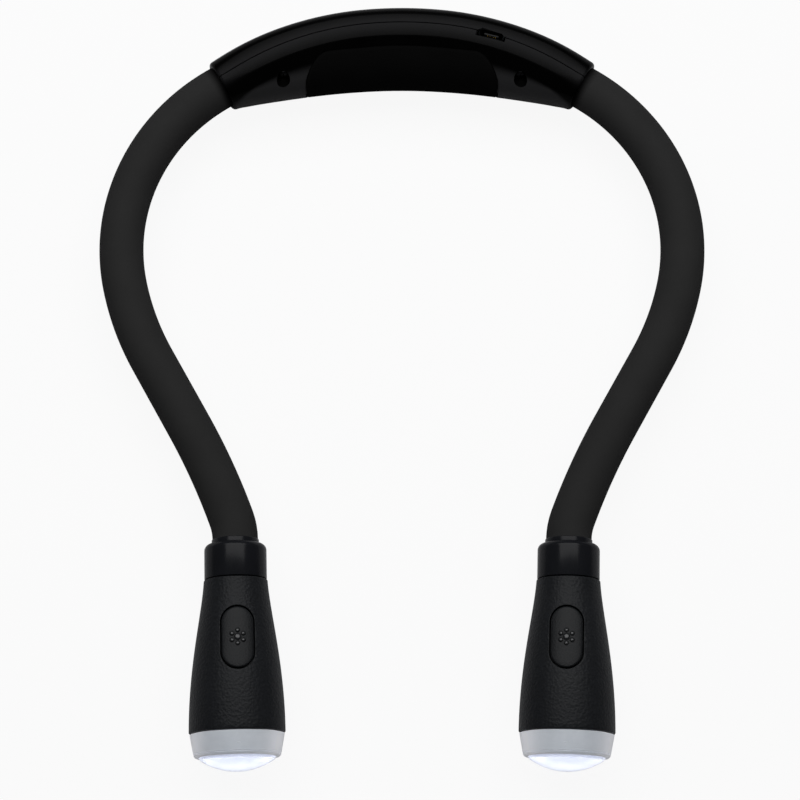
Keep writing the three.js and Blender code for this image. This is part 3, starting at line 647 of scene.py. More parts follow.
class Solid:
    """A mesh under work, in millimetres."""

    def __init__(self, mesh: bmesh.types.BMesh) -> None:
        """Take over a mesh whose vertices carry their ring and their column."""
        self.mesh = mesh

    @staticmethod
    def _marked() -> tuple[bmesh.types.BMesh, Any, Any]:
        """New mesh with whole-number layers for the ring and the column of its vertices."""
        mesh = bmesh.new()
        return mesh, mesh.verts.layers.int.new("ring"), mesh.verts.layers.int.new("column")

    @classmethod
    def lofted(cls, rings: int, columns: int, place: Callable[[int, int], Vector]) -> "Solid":
        """Skin over rings of points, closed round, with a face over each open end.

        Args:
            rings: How many rings there are.
            columns: How many points a ring has.
            place: Gives the point of a ring and a column.

        Returns:
            The solid.
        """
        mesh, ring_layer, column_layer = cls._marked()
        bmesh.ops.create_grid(mesh, x_segments=rings - 1, y_segments=columns, size=0.5)
        for vert in mesh.verts:
            ring = round((vert.co.x + 0.5) * (rings - 1))
            column = round((vert.co.y + 0.5) * columns) % columns
            vert[ring_layer], vert[column_layer] = ring, column
        for vert in mesh.verts:
            vert.co = place(vert[ring_layer], vert[column_layer])
        bmesh.ops.remove_doubles(mesh, verts=mesh.verts, dist=MERGE)
        bmesh.ops.dissolve_degenerate(mesh, edges=mesh.edges, dist=CRUMB)
        rims = [edge for edge in mesh.edges if edge.is_boundary]
        bmesh.ops.holes_fill(mesh, edges=rims, sides=0)
        bmesh.ops.recalc_face_normals(mesh, faces=mesh.faces)
        return cls(mesh)

    @classmethod
    def turned(cls, profile: Sequence[Pair], sides: int = 96) -> "Solid":
        """Lathe about Y.

        Args:
            profile: Radius and height of each corner, closed on itself or on the axis.
            sides: How many sides a round has.

        Returns:
            The solid.
        """
        mesh, ring_layer, _ = cls._marked()
        verts = [mesh.verts.new((radius, height, 0)) for radius, height in profile]
        for i, vert in enumerate(verts):
            vert[ring_layer] = i
        pairs = list(zip(verts, verts[1:]))
        if profile[0][0] > 0 or profile[-1][0] > 0:
            pairs.append((verts[-1], verts[0]))
        edges = [mesh.edges.new(pair) for pair in pairs]
        bmesh.ops.spin(mesh, geom=verts + edges, cent=(0, 0, 0), axis=(0, 1, 0),
                       angle=math.tau, steps=sides, use_merge=True)
        bmesh.ops.remove_doubles(mesh, verts=mesh.verts, dist=MERGE)
        bmesh.ops.recalc_face_normals(mesh, faces=mesh.faces)
        return cls(mesh)

    @classmethod
    def swept(cls, frames: Sequence[Matrix], radius: float, bore: float, sides: int) -> "Solid":
        """Tube or rod along a row of frames, whose Z is the way ahead.

        Args:
            frames: Frames of the middle line.
            radius: Outer radius.
            bore: Inner radius, or 0 for a rod.
            sides: How many sides the round has.

        Returns:
            The solid.
        """
        mesh, _, _ = cls._marked()
        starts: list[bmesh.types.BMEdge] = []
        ends: list[bmesh.types.BMEdge] = []
        for size in (radius, bore) if bore > 0 else (radius,):
            ring = bmesh.ops.create_circle(mesh, segments=sides, radius=size, matrix=frames[0])
            edges = list({edge for vert in ring["verts"] for edge in vert.link_edges})
            starts += edges
            for before, after in zip(frames, frames[1:]):
                grown = bmesh.ops.extrude_edge_only(mesh, edges=edges)["geom"]
                verts = [item for item in grown if isinstance(item, bmesh.types.BMVert)]
                edges = [item for item in grown if isinstance(item, bmesh.types.BMEdge)]
                bmesh.ops.transform(mesh, matrix=after @ before.inverted(), verts=verts)
            ends += edges
        for rim in (starts, ends):
            if bore > 0:
                bmesh.ops.bridge_loops(mesh, edges=rim)
            else:
                bmesh.ops.holes_fill(mesh, edges=rim, sides=0)
        bmesh.ops.recalc_face_normals(mesh, faces=mesh.faces)
        return cls(mesh)

    @classmethod
    def block(cls, size: Sequence[float], middle: Sequence[float]) -> "Solid":
        """Plain box, used as a tool or as a small flat part.

        Args:
            size: Its three sides.
            middle: Its middle.

        Returns:
            The solid.
        """
        mesh, _, _ = cls._marked()
        bmesh.ops.create_cube(mesh, size=1.0, matrix=Matrix.Translation(middle)
                              @ Matrix.Diagonal((*size, 1.0)))
        return cls(mesh)

    def soften(self, ring: int, width: float, segments: int = 3) -> "Solid":
        """Round the edge that runs along a ring of the solid."""
        return self._bevel(self._marked_edges("ring", ring), width, segments)

    def soften_column(self, column: int, width: float, segments: int) -> "Solid":
        """Round the edge that runs across the rings at a column of the solid."""
        return self._bevel(self._marked_edges("column", column), width, segments)

    def soften_all(self, width: float, segments: int = 2) -> "Solid":
        """Round all sharp edges."""
        edges = [edge for edge in self.mesh.edges
                 if len(edge.link_faces) == 2 and edge.calc_face_angle(0) > SHARP_EDGE]
        return self._bevel(edges, width, segments)

    def _marked_edges(self, layer_name: str, number: int) -> list[bmesh.types.BMEdge]:
        """Edges whose two ends carry the same number in a layer."""
        layer = self.mesh.verts.layers.int[layer_name]
        return [edge for edge in self.mesh.edges
                if all(vert[layer] == number for vert in edge.verts)]

    def _bevel(self, edges: Sequence[bmesh.types.BMEdge], width: float,
               segments: int) -> "Solid":
        """Round some edges."""
        bmesh.ops.bevel(self.mesh, geom=edges, offset=width, offset_type="OFFSET",
                        segments=segments, profile=0.5, affect="EDGES", material=-1,
                        clamp_overlap=True)
        return self

    def move(self, matrix: Matrix) -> "Solid":
        """Move and turn the whole solid."""
        bmesh.ops.transform(self.mesh, matrix=matrix, verts=self.mesh.verts)
        return self

    @classmethod
    def joined(cls, solids: Iterable["Solid"]) -> "Solid":
        """Several solids as one, untouched."""
        first, *others = solids
        for other in others:
            first.with_part(other)
        return first

    def with_part(self, other: "Solid") -> "Solid":
        """Take another solid's faces in, untouched."""
        carrier = bpy.data.meshes.new("carrier")
        other.mesh.to_mesh(carrier)
        self.mesh.from_mesh(carrier)
        bpy.data.meshes.remove(carrier)
        return self

    def cut(self, how: Cut, tool: "Solid") -> "Solid":
        """Cut, join or crop with another solid.

        Args:
            how: Which of the three.
            tool: The other solid.

        Returns:
            This solid, changed.
        """
        pair = []
        for name, solid in (("work", self), ("tool", tool)):
            mesh = bpy.data.meshes.new(name)
            solid.mesh.to_mesh(mesh)
            pair.append(linked(name, mesh))
        work, other = pair
        modifier = work.modifiers.new("cut", "BOOLEAN")
        modifier.operation = how.value
        modifier.solver = "EXACT"
        modifier.object = other
        self.mesh.clear()
        self.mesh.from_object(work, bpy.context.evaluated_depsgraph_get())
        for item in pair:
            mesh = item.data
            bpy.data.objects.remove(item)
            bpy.data.meshes.remove(mesh)
        return self


@dataclass
class Fitter:
    """Turns finished solids into pieces of the light."""

    triangles: int = 0
    # Neighbouring faces that turn by less than this are shaded as one
    smooth: ClassVar[float] = math.radians(34.0)

    def add(self, name: str, solid: Solid, finish: Finish, body: Optional[str], slot: str,
            replaces: Sequence[str] = ()) -> bpy.types.Object:
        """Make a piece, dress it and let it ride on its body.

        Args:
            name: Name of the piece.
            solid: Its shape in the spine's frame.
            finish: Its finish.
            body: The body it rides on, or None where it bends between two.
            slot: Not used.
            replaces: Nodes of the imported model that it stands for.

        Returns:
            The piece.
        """
        solid.move(Matrix.Diagonal((MM, MM, MM, 1)) @ Matrix.Translation(SET_DOWN))
        data = bpy.data.meshes.new(name)
        solid.mesh.to_mesh(data)
        solid.mesh.free()
        data.polygons.foreach_set("use_smooth", [True] * len(data.polygons))
        data.set_sharp_from_angle(angle=self.smooth)
        for layer in ("ring", "column"):
            known = data.attributes.get(layer)
            if known is not None:
                data.attributes.remove(known)
        data.materials.append(finish.material())
        piece = linked(name, data)
        if body is not None:
            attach(piece, body)
        if replaces:
            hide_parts(*replaces)
        count = sum(len(face.vertices) - 2 for face in data.polygons)
        self.triangles += count
        log.info("%s: %d triangles", name, count)
        return piece

    @staticmethod
    def dress(node: str, finish: Finish) -> None:
        """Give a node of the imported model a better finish."""
        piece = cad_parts[node]
        piece.data.materials.clear()
        piece.data.materials.append(finish.material())
        log.info("%s: kept, in %s", node, finish.name)


@dataclass(frozen=True)
class RoundedOutline:
    """Rectangle with round corners in XY, which can grow or shrink evenly."""

    width: float
    length: float
    radius: float
    corner_steps: int = 8
    side_steps: int = 6

    @property
    def count(self) -> int:
        """How many points it has."""
        return 4 * (self.corner_steps + self.side_steps)

    def point(self, index: int, growth: float) -> Pair:
        """Point of the outline.

        Args:
            index: Which point.
            growth: How far the outline is grown, or shrunk where it is negative.

        Returns:
            Its x and y.
        """
        half_x = max(self.width / 2 + growth, 0.0)
        half_y = max(self.length / 2 + growth, 0.0)
        radius = min(max(self.radius + growth, 0.0), half_x, half_y)
        corner = (half_x - radius, half_y - radius, radius)
        quarter, rest = divmod(index % self.count, self.corner_steps + self.side_steps)
        if rest > self.corner_steps:
            share = (rest - self.corner_steps) / self.side_steps
            before = self._corner(quarter, 1.0, *corner)
            after = self._corner((quarter + 1) % 4, 0.0, *corner)
            return (before[0] + (after[0] - before[0]) * share,
                    before[1] + (after[1] - before[1]) * share)
        return self._corner(quarter, rest / self.corner_steps, *corner)

    def grown(self, growth: float) -> "RoundedOutline":
        """Another outline, grown evenly."""
        return replace(self, width=self.width + 2 * growth, length=self.length + 2 * growth,
                       radius=self.radius + growth)

    @staticmethod
    def _corner(quarter: int, share: float, x: float, y: float, radius: float) -> Pair:
        """Point of a corner's arc, from its start, 0, to its end, 1."""
        sign_x = 1 if quarter in (0, 3) else -1
        sign_y = 1 if quarter in (0, 1) else -1
        angle = (quarter + share) * math.pi / 2
        return (sign_x * x + radius * math.cos(angle), sign_y * y + radius * math.sin(angle))

    def raised(self, profile: Sequence[Pair],
               carrier: Callable[[float, float, float], Vector]) -> Solid:
        """Solid whose outline follows a profile, as on a lathe, over a carrying surface.

        Args:
            profile: Growth and level of each ring.
            carrier: Gives the place of x, y and a level.

        Returns:
            The solid, its ends closed.
        """
        return Solid.lofted(
            len(profile), self.count,
            lambda ring, column: carrier(*self.point(column, profile[ring][0]), profile[ring][1]))


def rounded_rim(growth: float, level: float, radius: float, steps: int = 4) -> list[Pair]:
    """Profile of a rim that rolls over from a wall to a top.

    Args:
        growth: Growth of the wall.
        level: Level of the top.
        radius: Radius of the rim.
        steps: How many steps the roll has.

    Returns:
        Growth and level of each ring, from the wall to the top.
    """
    return [(growth - radius * (1 - math.cos(a)), level - radius * (1 - math.sin(a)))
            for a in quarter_turn(steps)]


def flat(x: float, y: float, level: float) -> Vector:
    """Carrier that is the level plane."""
    return Vector((x, y, level))


# Battery housing


@dataclass(frozen=True)
class Socket:
    """Metal socket in the port with its tongue and contacts; z = 0 is the housing's top face.

    The profiles are growth and level of each ring of an outline.
    """

    shell: RoundedOutline = RoundedOutline(7.5, 2.6, 0.7, 6, 3)
    shell_profile: Sequence[Pair] = ((0, -5.8), (0, -1.1), (0.22, -0.62), (0.22, -0.5),
                                     (-0.1, -0.7), (-0.3, -1.1), (-0.3, -5.8), (0, -5.8))
    base: RoundedOutline = RoundedOutline(6.2, 1.4, 0.3, 4, 2)
    base_profile: Sequence[Pair] = ((-0.7, -5.75), (0, -5.75), (0, -4.6), (-0.7, -4.6))
    tongue: RoundedOutline = RoundedOutline(4.6, 0.7, 0.12, 4, 2)
    tongue_profile: Sequence[Pair] = ((-0.35, -5.4), (0, -5.4), (0, -1.4), (-0.12, -1.2),
                                      (-0.35, -1.2))
    contact: Sequence[float] = (0.32, 0.08, 2.9)
    contact_side: float = -0.38
    contact_middle: float = -3.0
    contacts: int = 5
    pitch: float = 0.65
    contact_soft: float = 0.02

    def build(self, fitter: Fitter, place: Matrix) -> None:
        """Build the socket at its place in the housing."""
        tube = self.shell.raised(self.shell_profile, flat)
        fitter.add("usb_socket_shell", tube.move(place), SHADED_SOCKET_STEEL, "housing", "socket_steel",
                   ["usb_socket"])
        base = self.base.raised(self.base_profile, flat)
        base.cut(Cut.ADD, self.tongue.raised(self.tongue_profile, flat))
        fitter.add("usb_tongue_moulding", base.move(place), INNER_BLACK, "housing",
                   "inner_plastic", ["usb_tongue"])
        first = -self.pitch * (self.contacts - 1) / 2
        row = Solid.joined(Solid.block(self.contact, (
            first + self.pitch * i, self.contact_side, self.contact_middle))
            for i in range(self.contacts))
        fitter.add("usb_contacts", row.soften_all(self.contact_soft, 1).move(place), CONTACT_GOLD,
                   "housing", "socket_steel")


@dataclass(frozen=True)
class Screw:
    """Pan-head screw along Y, with a cross drive and a few turns of thread."""

    head_radius: float
    length_in_post: float
    # Share of the head's radius, and place along Y from the seat
    pan: Sequence[Pair] = ((0, -1.6), (0.35, -1.56), (0.7, -1.4), (0.92, -1.1), (1, -0.7), (1, 0))
    neck_radius: float = 0.8
    thread_root: float = 0.78
    thread_crest: float = 1.0
    pitch: float = 0.62
    flank: float = 0.22
    first_turn: float = 0.6
    last_turn: float = 3.4
    tip: Sequence[Pair] = ((0.7, 3.9), (0, 4.2))
    blade: Sequence[float] = (2.3, 2.0, 0.42)
    blade_level: float = -1.55

    def build(self, fitter: Fitter, name: str, seat: Vector) -> None:
        """Build a screw under its head's seat."""
        profile = [(share * self.head_radius, level) for share, level in self.pan]
        profile.append((self.neck_radius, 0))
        turn = self.first_turn
        while turn < self.length_in_post + self.last_turn:
            profile += [(self.thread_root, turn), (self.thread_crest, turn + self.flank),
                        (self.thread_root, turn + 2 * self.flank)]
            turn += self.pitch
        profile += [(radius, self.length_in_post + level) for radius, level in self.tip]
        screw = Solid.turned(profile, sides=32)
        for way in (0, math.pi / 2):
            blade = Solid.block(self.blade, (0, 0, 0))
            blade.move(Matrix.Translation((0, self.blade_level, 0)) @ Matrix.Rotation(way, 4, "Y"))
            screw.cut(Cut.TAKE_AWAY, blade)
        fitter.add(f"{name}_turned", screw.move(Matrix.Translation(seat)), SCREW_STEEL, "housing",
                   "screw_steel", [name])


@dataclass
class Housing:
    """Two crowned shells that meet at a seam along the spine, with pad, port and screws."""

    spine_radius: float = 110.7
    half_turn: float = math.radians(31)
    height: float = 28.0
    rest_half_length: float = 12.0
    back_depth: float = 7.0
    neck_depth: float = 16.0
    wall: float = 2.2
    end_wall: float = 1.1
    end_radius: float = 8.15
    seam: float = 0.3
    back_fillet: float = 6.6
    fillet_crease: float = math.radians(21.5)
    band_depth: float = 4.3
    band_sag: float = 0.25
    bevel_depth: float = 3.9
    bevel_height: float = 2.8
    face_share: float = 0.63
    # Shares of the room that the fillet, the band and the bevel take where it is narrow
    fillet_room: float = 0.95
    band_room: float = 0.68
    bevel_room: float = 0.76
    lip_radius: float = 1.0
    fall_power: float = 1.85
    rounding_power: float = 8.0
    pad_outline: RoundedOutline = RoundedOutline(60.0, 23.6, 7.4, 12, 16)
    # Growth of the rings from the pad's middle line to its rim
    pad_rings: Sequence[float] = (-12.2, -11.4, -10.0, -8.4, -6.8, -5.2, -3.8, -2.6, -1.6, -0.8)
    pad_thickness: float = 1.0
    pad_tool_reach: float = 6.0
    pad_chamfer: float = 0.2
    pad_roll: float = 0.55
    port_turn: float = math.radians(14.6)
    port_width: float = 9.0
    port_depth: float = 3.2
    # The port's clipped corners and floor, and its mouth, which opens less far backwards
    port_clip: float = 1.0
    clip_run: float = 1.5
    port_floor: float = 6.1
    mouth_back: float = 0.85
    mouth_wall: float = 0.44
    mouth_edge: float = 0.12
    mouth_step: float = 0.01
    mouth_flare: float = 0.1
    port_tool_reach: float = 3.0
    port_tool_flare: float = 2.0
    # The screws, their recesses and posts, and the pilot holes through the seam
    screw_from_port: float = 9.5
    screw_from_face: float = 6.7
    screw_head: float = 3.5
    screw_seat: float = 7.0
    recess_reach: float = 40.0
    post_radius: float = 3.7
    post_length: float = 17.0
    pilot_radius: float = 1.3
    pilot_length: float = 9.0
    pilot_past_seam: float = 2.0
    clearance: float = 0.3
    # How often a point of the neck side is refined in turn and in height
    turn_rounds: int = 7
    share_halvings: int = 18
    # Steps between the corners of a section
    top_steps: int = 6
    fillet_steps: int = 10
    flank_steps: int = 8
    bevel_steps: int = 4
    face_steps: int = 20
    # Widths of the softened edges
    seam_soft: float = 0.1
    crease_soft: float = 0.35
    band_soft: float = 0.3
    shoulder_soft: float = 0.8

    def plan_reach(self, middle: float, end: float, turn: float) -> float:
        """Reach from the centre to an arc in plan that passes its middle and its end."""
        end_x, end_y = end * math.sin(self.half_turn), end * math.cos(self.half_turn)
        drop = middle - end_y
        radius = (end_x * end_x + drop * drop) / (2 * drop)
        centre = middle - radius
        return centre * math.cos(turn) + math.sqrt(radius ** 2 - (centre * math.sin(turn)) ** 2)

    def end_share(self, turn: float) -> float:
        """How far a section has gone from the flat middle, 0, to an end, 1."""
        rest_turn = self.rest_half_length / self.spine_radius
        return max(0.0, (abs(turn) - rest_turn) / (self.half_turn - rest_turn))

    def half_height(self, turn: float) -> float:
        """Half of the height at a turn of the spine."""
        fall = self.end_share(turn) ** self.fall_power
        return self.height / 2 - (self.height / 2 - self.end_radius) * fall

    def inset_at(self, turn: float, full: float) -> float:
        """Inset that thins with the wall towards the ends."""
        return full * (1 + (self.end_wall / self.wall - 1) * min(1.0, self.end_share(turn)))

    def _settle(self, turn: float, inset: float, shrink: float, x: float, y: float) -> Pair:
        """Roll a point of a section towards the round end."""
        reach = math.hypot(x, y)
        roundness = min(1.0, self.end_share(turn)) ** self.rounding_power
        scale = 1 + ((self.end_radius - inset) / reach - 1) * roundness
        x, y = x * scale, y * scale
        reach = math.hypot(x, y)
        return x * (1 - shrink / reach), y * (1 - shrink / reach)

    def back_outline(self, turn: float, full: float, shrink: float = 0.0) -> list[Pair]:
        """Outline of the back shell's section, from its top seam to its bottom seam."""
        inset = self.inset_at(turn, full)
        top = self.half_height(turn) - inset
        depth = self.plan_reach(self.spine_radius + self.back_depth,
                                self.spine_radius + self.end_radius, turn)
        depth -= self.spine_radius + inset
        room = self.fillet_room * min(depth, top)
        fillet = min(max(self.back_fillet - inset, self.clearance), room)
        start = self.seam / 2
        arc = math.pi / 2 - self.fillet_crease
        crease_x = depth - fillet + fillet * math.cos(arc)
        drop = fillet * (1 - math.sin(arc))
        upper = [(start + (crease_x - start) * i / self.top_steps, top)
                 for i in range(self.top_steps)]
        for i in range(self.fillet_steps + 1):
            angle = arc * (1 - i / self.fillet_steps)
            upper.append((depth - fillet + fillet * math.cos(angle),
                          top + drop - fillet + fillet * math.sin(angle)))
        flank = [(depth, (top + drop - fillet) * (1 - i / self.flank_steps))
                 for i in range(1, self.flank_steps)]
        return self._seamed(turn, inset, shrink, upper + flank, depth, start)

    def neck_outline(self, turn: float, full: float, shrink: float = 0.0) -> list[Pair]:
        """Outline of the neck shell's section, from its top seam to its bottom seam."""
        inset = self.inset_at(turn, full)
        top = self.half_height(turn) - inset
        depth = self.neck_reach(turn) - inset
        band, shoulder, shoulder_top = self._neck_steps(depth, top)
        start = self.seam / 2
        edge = top - self.band_sag
        half = [(-start - (band - start) * share, top - self.band_sag * share ** 2)
                for share in (i / self.top_steps for i in range(self.top_steps))]
        half += [(-band - (shoulder - band) * share, edge - (edge - shoulder_top) * share)
                 for share in (i / self.bevel_steps for i in range(self.bevel_steps))]
        half += [self._face_point(depth, shoulder, shoulder_top, i / self.face_steps)
                 for i in range(self.face_steps)]
        return self._seamed(turn, inset, shrink, half, -depth, -start)

    def neck_reach(self, turn: float) -> float:
        """Depth of the neck side at a turn of the spine."""
        return self.spine_radius - self.plan_reach(
            self.spine_radius - self.neck_depth, self.spine_radius - self.end_radius, turn)

    def _face_point(self, depth: float, shoulder: float, shoulder_top: float,
                    share: float) -> Pair:
        """Point of the face towards the neck, from the bevel's foot, 0, to its middle, 1."""
        return curve_point(share, (-shoulder, shoulder_top),
                           (-depth, shoulder_top * self.face_share), (-depth, 0.0))

    def _neck_steps(self, depth: float, top: float) -> tuple[float, float, float]:
        """Depth of the flat band, and depth and height at the foot of the bevel."""
        band = min(self.band_depth, self.band_room * depth)
        bevel = min(self.bevel_depth, self.bevel_room * (depth - band))
        return band, band + bevel, top - min(self.bevel_height, top / 2)

    def _seamed(self, turn: float, inset: float, shrink: float, half: Sequence[Pair],
                middle_x: float, seam_x: float) -> list[Pair]:
        """Mirror the upper half of a section, settle it and keep its two ends at the seam."""
        points = [*half, (middle_x, 0.0), *((x, -y) for x, y in reversed(half))]
        settled = [self._settle(turn, inset, shrink, x, y) for x, y in points]
        settled[0] = (seam_x, settled[0][1])
        settled[-1] = (seam_x, settled[-1][1])
        return settled

    def stations(self, steps: int = 96, lip_steps: int = 6) -> list[Pair]:
        """Turn of each section, and how far the end lip draws it in."""
        lip_turn = self.lip_radius / self.spine_radius
        lip = [(-self.half_turn + lip_turn * (1 - math.cos(a)), self.lip_radius * (1 - math.sin(a)))
               for a in quarter_turn(lip_steps)[:-1]]
        reach = self.half_turn - lip_turn
        middle = [(reach * (2 * i / steps - 1), 0.0) for i in range(steps + 1)]
        return lip + middle + [(-turn, shrink) for turn, shrink in reversed(lip)]

    def on_spine(self, turn: float, outwards: float, height: float) -> Vector:
        """Place of a point of a section."""
        reach = self.spine_radius + outwards
        return Vector((reach * math.sin(turn), reach * math.cos(turn), height))

    def loft(self, section: Callable[[float, float], Sequence[Pair]]) -> Solid:
        """Closed skin through the sections of the stations."""
        stations = self.stations()
        sections = [section(turn, shrink) for turn, shrink in stations]
        return Solid.lofted(
            len(stations), len(sections[0]),
            lambda ring, column: self.on_spine(stations[ring][0], *sections[ring][column]))

    def port_place(self) -> Matrix:
        """Frame at the port: x along the housing, y outwards, z up from the top face."""
        return (Matrix.Rotation(-self.port_turn, 4, "Z")
                @ Matrix.Translation((0, self.spine_radius, self.half_height(self.port_turn))))

    def port_opening(self) -> Solid:
        """Tool for the port: a slot with two clipped corners under a narrower mouth."""
        x, y, mouth = self.port_width / 2, self.port_depth / 2, self.mouth_back
        clip, run = self.port_clip, self.port_clip * self.clip_run
        # Height, depth behind the seam and growth of each ring, the last above the housing
        levels = [(-self.port_floor, y, 0.0), (-self.mouth_wall - self.mouth_step, y, 0.0),
                  (-self.mouth_wall, mouth, 0.0), (-self.mouth_edge, mouth, 0.0),
                  (0.0, mouth, self.mouth_flare),
                  (self.port_tool_reach, mouth, self.port_tool_flare)]

        def place(ring: int, column: int) -> Vector:
            """Corner of the slot at one of its levels."""
            level, back, growth = levels[ring]
            corners = [(-x, -y), (x, -y), (x, back - clip), (x - run, back),
                       (-x + run, back), (-x, back - clip)]
            cx, cy = corners[column]
            outwards = 1 if column in (3, 4) else (-1 if column < 2 else 0)
            return Vector((cx + math.copysign(growth, cx), cy + outwards * growth, level))

        return Solid.lofted(len(levels), 6, place).move(self.port_place())

    def screw_places(self) -> list[Vector]:
        """Point of each screw's axis on the seam."""
        turn = self.port_turn + self.screw_from_port / self.spine_radius
        rise = self.height / 2 - self.screw_from_face
        return [self.on_spine(side * turn, 0, height)
                for side in (-1, 1) for height in (-rise, rise)]

    def neck_face(self, x: float, height: float, inset: float) -> Vector:
        """Point of the neck side, drawn in by an inset, at an x and a height."""
        turn, outward = x / (self.spine_radius - self.neck_depth), 0.0
        for _ in range(self.turn_rounds):
            at = self.inset_at(turn, inset)
            top, depth = self.half_height(turn) - at, self.neck_reach(turn) - at
            band, shoulder, shoulder_top = self._neck_steps(depth, top)
            edge, low, high = top - self.band_sag, -1.0, 1.0
            for _ in range(self.share_halvings):
                share = (low + high) / 2
                if share < 0:
                    point = (-shoulder + share * (band - shoulder),
                             shoulder_top - share * (edge - shoulder_top))
                else:
                    point = self._face_point(depth, shoulder, shoulder_top, share)
                outward, reached = self._settle(turn, at, 0.0, *point)
                low, high = (share, high) if reached > abs(height) else (low, share)
            turn = math.asin(x / (self.spine_radius + outward))
        return Vector((x, (self.spine_radius + outward) * math.cos(turn), height))

    def build(self, fitter: Fitter) -> None:
        """Build the shells, the pad, the port and the screws."""
        self.build_back(fitter)
        self.build_neck(fitter)
        self.build_pad(fitter)
        Socket().build(fitter, self.port_place())
        for i, place in enumerate(self.screw_places()):
            seat = Vector((place.x, place.y - self.screw_seat - self.clearance, place.z))
            Screw(self.screw_head / 2, self.screw_seat + self.clearance).build(
                fitter, f"housing_screw_{i + 1}", seat)
        for side in Side:
            fitter.dress(f"arm_clamp_{side.label}", INNER_BLACK)
        fitter.dress("battery_cell", CELL)
        fitter.dress("charge_board", BOARD)

    def shell(self, outline: Callable[..., list[Pair]], edges: Mapping[int, float],
              segments: int) -> Solid:
        """Shell between an outline and the same outline drawn in by the wall.

        Args:
            outline: Gives the outline for a turn, an inset and a shrink.
            edges: Width of the softened edge at each column from the top seam. The same edge
                from the bottom seam is softened too.
            segments: How many segments the softened edges have.

        Returns:
            The shell.
        """
        shell = self.loft(lambda turn, shrink: (
            outline(turn, 0.0, shrink) + outline(turn, self.wall)[::-1]))
        last = len(outline(0.0, 0.0)) - 1
        for column, width in edges.items():
            shell.soften_column(column, width, segments)
            shell.soften_column(last - column, width, segments)
        return shell

    def build_back(self, fitter: Fitter) -> None:
        """Back shell with its half of the port."""
        shell = self.shell(self.back_outline, {
            0: self.seam_soft, self.top_steps: self.crease_soft}, 2)
        shell.cut(Cut.TAKE_AWAY, self.port_opening())
        fitter.add("back_shell_moulding", shell, HOUSING_GLOSS, "housing", "back_shell_gloss",
                   ["back_shell"])

    def build_neck(self, fitter: Fitter) -> None:
        """Neck-side shell with the pad's recess, the screws' recesses and its half of the port."""
        shell = self.shell(self.neck_outline, {
            0: self.seam_soft, self.top_steps: self.band_soft,
            self.top_steps + self.bevel_steps: self.shoulder_soft}, 3)
        inside = self.loft(lambda turn, shrink: self.neck_outline(turn, self.wall / 2))
        for place in self.screw_places():
            post = self.rod(self.post_radius, -self.post_length, -self.seam / 2, place)
            post.cut(Cut.KEEP_INSIDE, inside)
            shell.cut(Cut.ADD, post)
            shell.cut(Cut.TAKE_AWAY, self.rod(
                self.screw_head / 2 + self.clearance, -self.recess_reach, -self.screw_seat, place))
            shell.cut(Cut.TAKE_AWAY, self.rod(
                self.pilot_radius, -self.pilot_length, self.pilot_past_seam, place))
        shell.cut(Cut.TAKE_AWAY, self.pad_body(self.clearance, [
            (0.0, self.pad_thickness + self.clearance), (0.0, -self.pad_tool_reach)]))
        shell.cut(Cut.TAKE_AWAY, self.port_opening())
        inside.mesh.free()
        fitter.add("neck_shell_moulding", shell, HOUSING_GLOSS, "housing", "neck_shell_gloss",
                   ["neck_shell"])

    @staticmethod
    def rod(radius: float, start: float, end: float, place: Vector) -> Solid:
        """Rod along Y from before a point to behind it."""
        start, end = place.y + start, place.y + end
        rod = Solid.turned([(0, start), (radius, start), (radius, end), (0, end)], sides=40)
        return rod.move(Matrix.Translation((place.x, 0, place.z)))

    def pad_body(self, growth: float, rim: Sequence[Pair]) -> Solid:
        """Solid over the neck side in the pad's outline.

        Args:
            growth: How far the outline is grown.
            rim: Growth and inset of each ring of the rim, from the bottom to the top.

        Returns:
            The solid.
        """
        profile = [*((inner, rim[0][1]) for inner in self.pad_rings), *rim,
                   *((inner, rim[-1][1]) for inner in reversed(self.pad_rings))]

        def carrier(x: float, height: float, inset: float) -> Vector:
            """The neck side, and straight out of it where the inset is negative."""
            point = self.neck_face(x, height, max(inset, 0.0))
            return point + Vector((0, min(inset, 0.0), 0))

        return self.pad_outline.grown(growth).raised(profile, carrier)

    def build_pad(self, fitter: Fitter) -> None:
        """Soft pad, let into the neck side."""
        rim = [(-self.pad_chamfer, self.pad_thickness), (0.0, self.pad_thickness - self.pad_chamfer)]
        rim += [(growth, -level) for growth, level in rounded_rim(0.0, 0.0, self.pad_roll)]
        fitter.add("neck_pad_moulding", self.pad_body(0.0, rim), PAD_SOFT, "housing",
                   "neck_pad_soft", ["neck_pad"])


# Arms


@dataclass(frozen=True)
class Leg:
    """Leg of an arm's middle line: its length and the change of heading per length."""

    reach: float
    bend: float = 0.0

    @classmethod
    def arc(cls, radius: float, degrees: float) -> "Leg":
        """Leg along an arc."""
        return cls(radius * abs(math.radians(degrees)), math.copysign(1 / radius, degrees))


@dataclass
class Stretch:
    """Part of an arm that rides on one body or bends between two."""

    name: str
    start: float
    end: float
    bodies: tuple[str, ...]


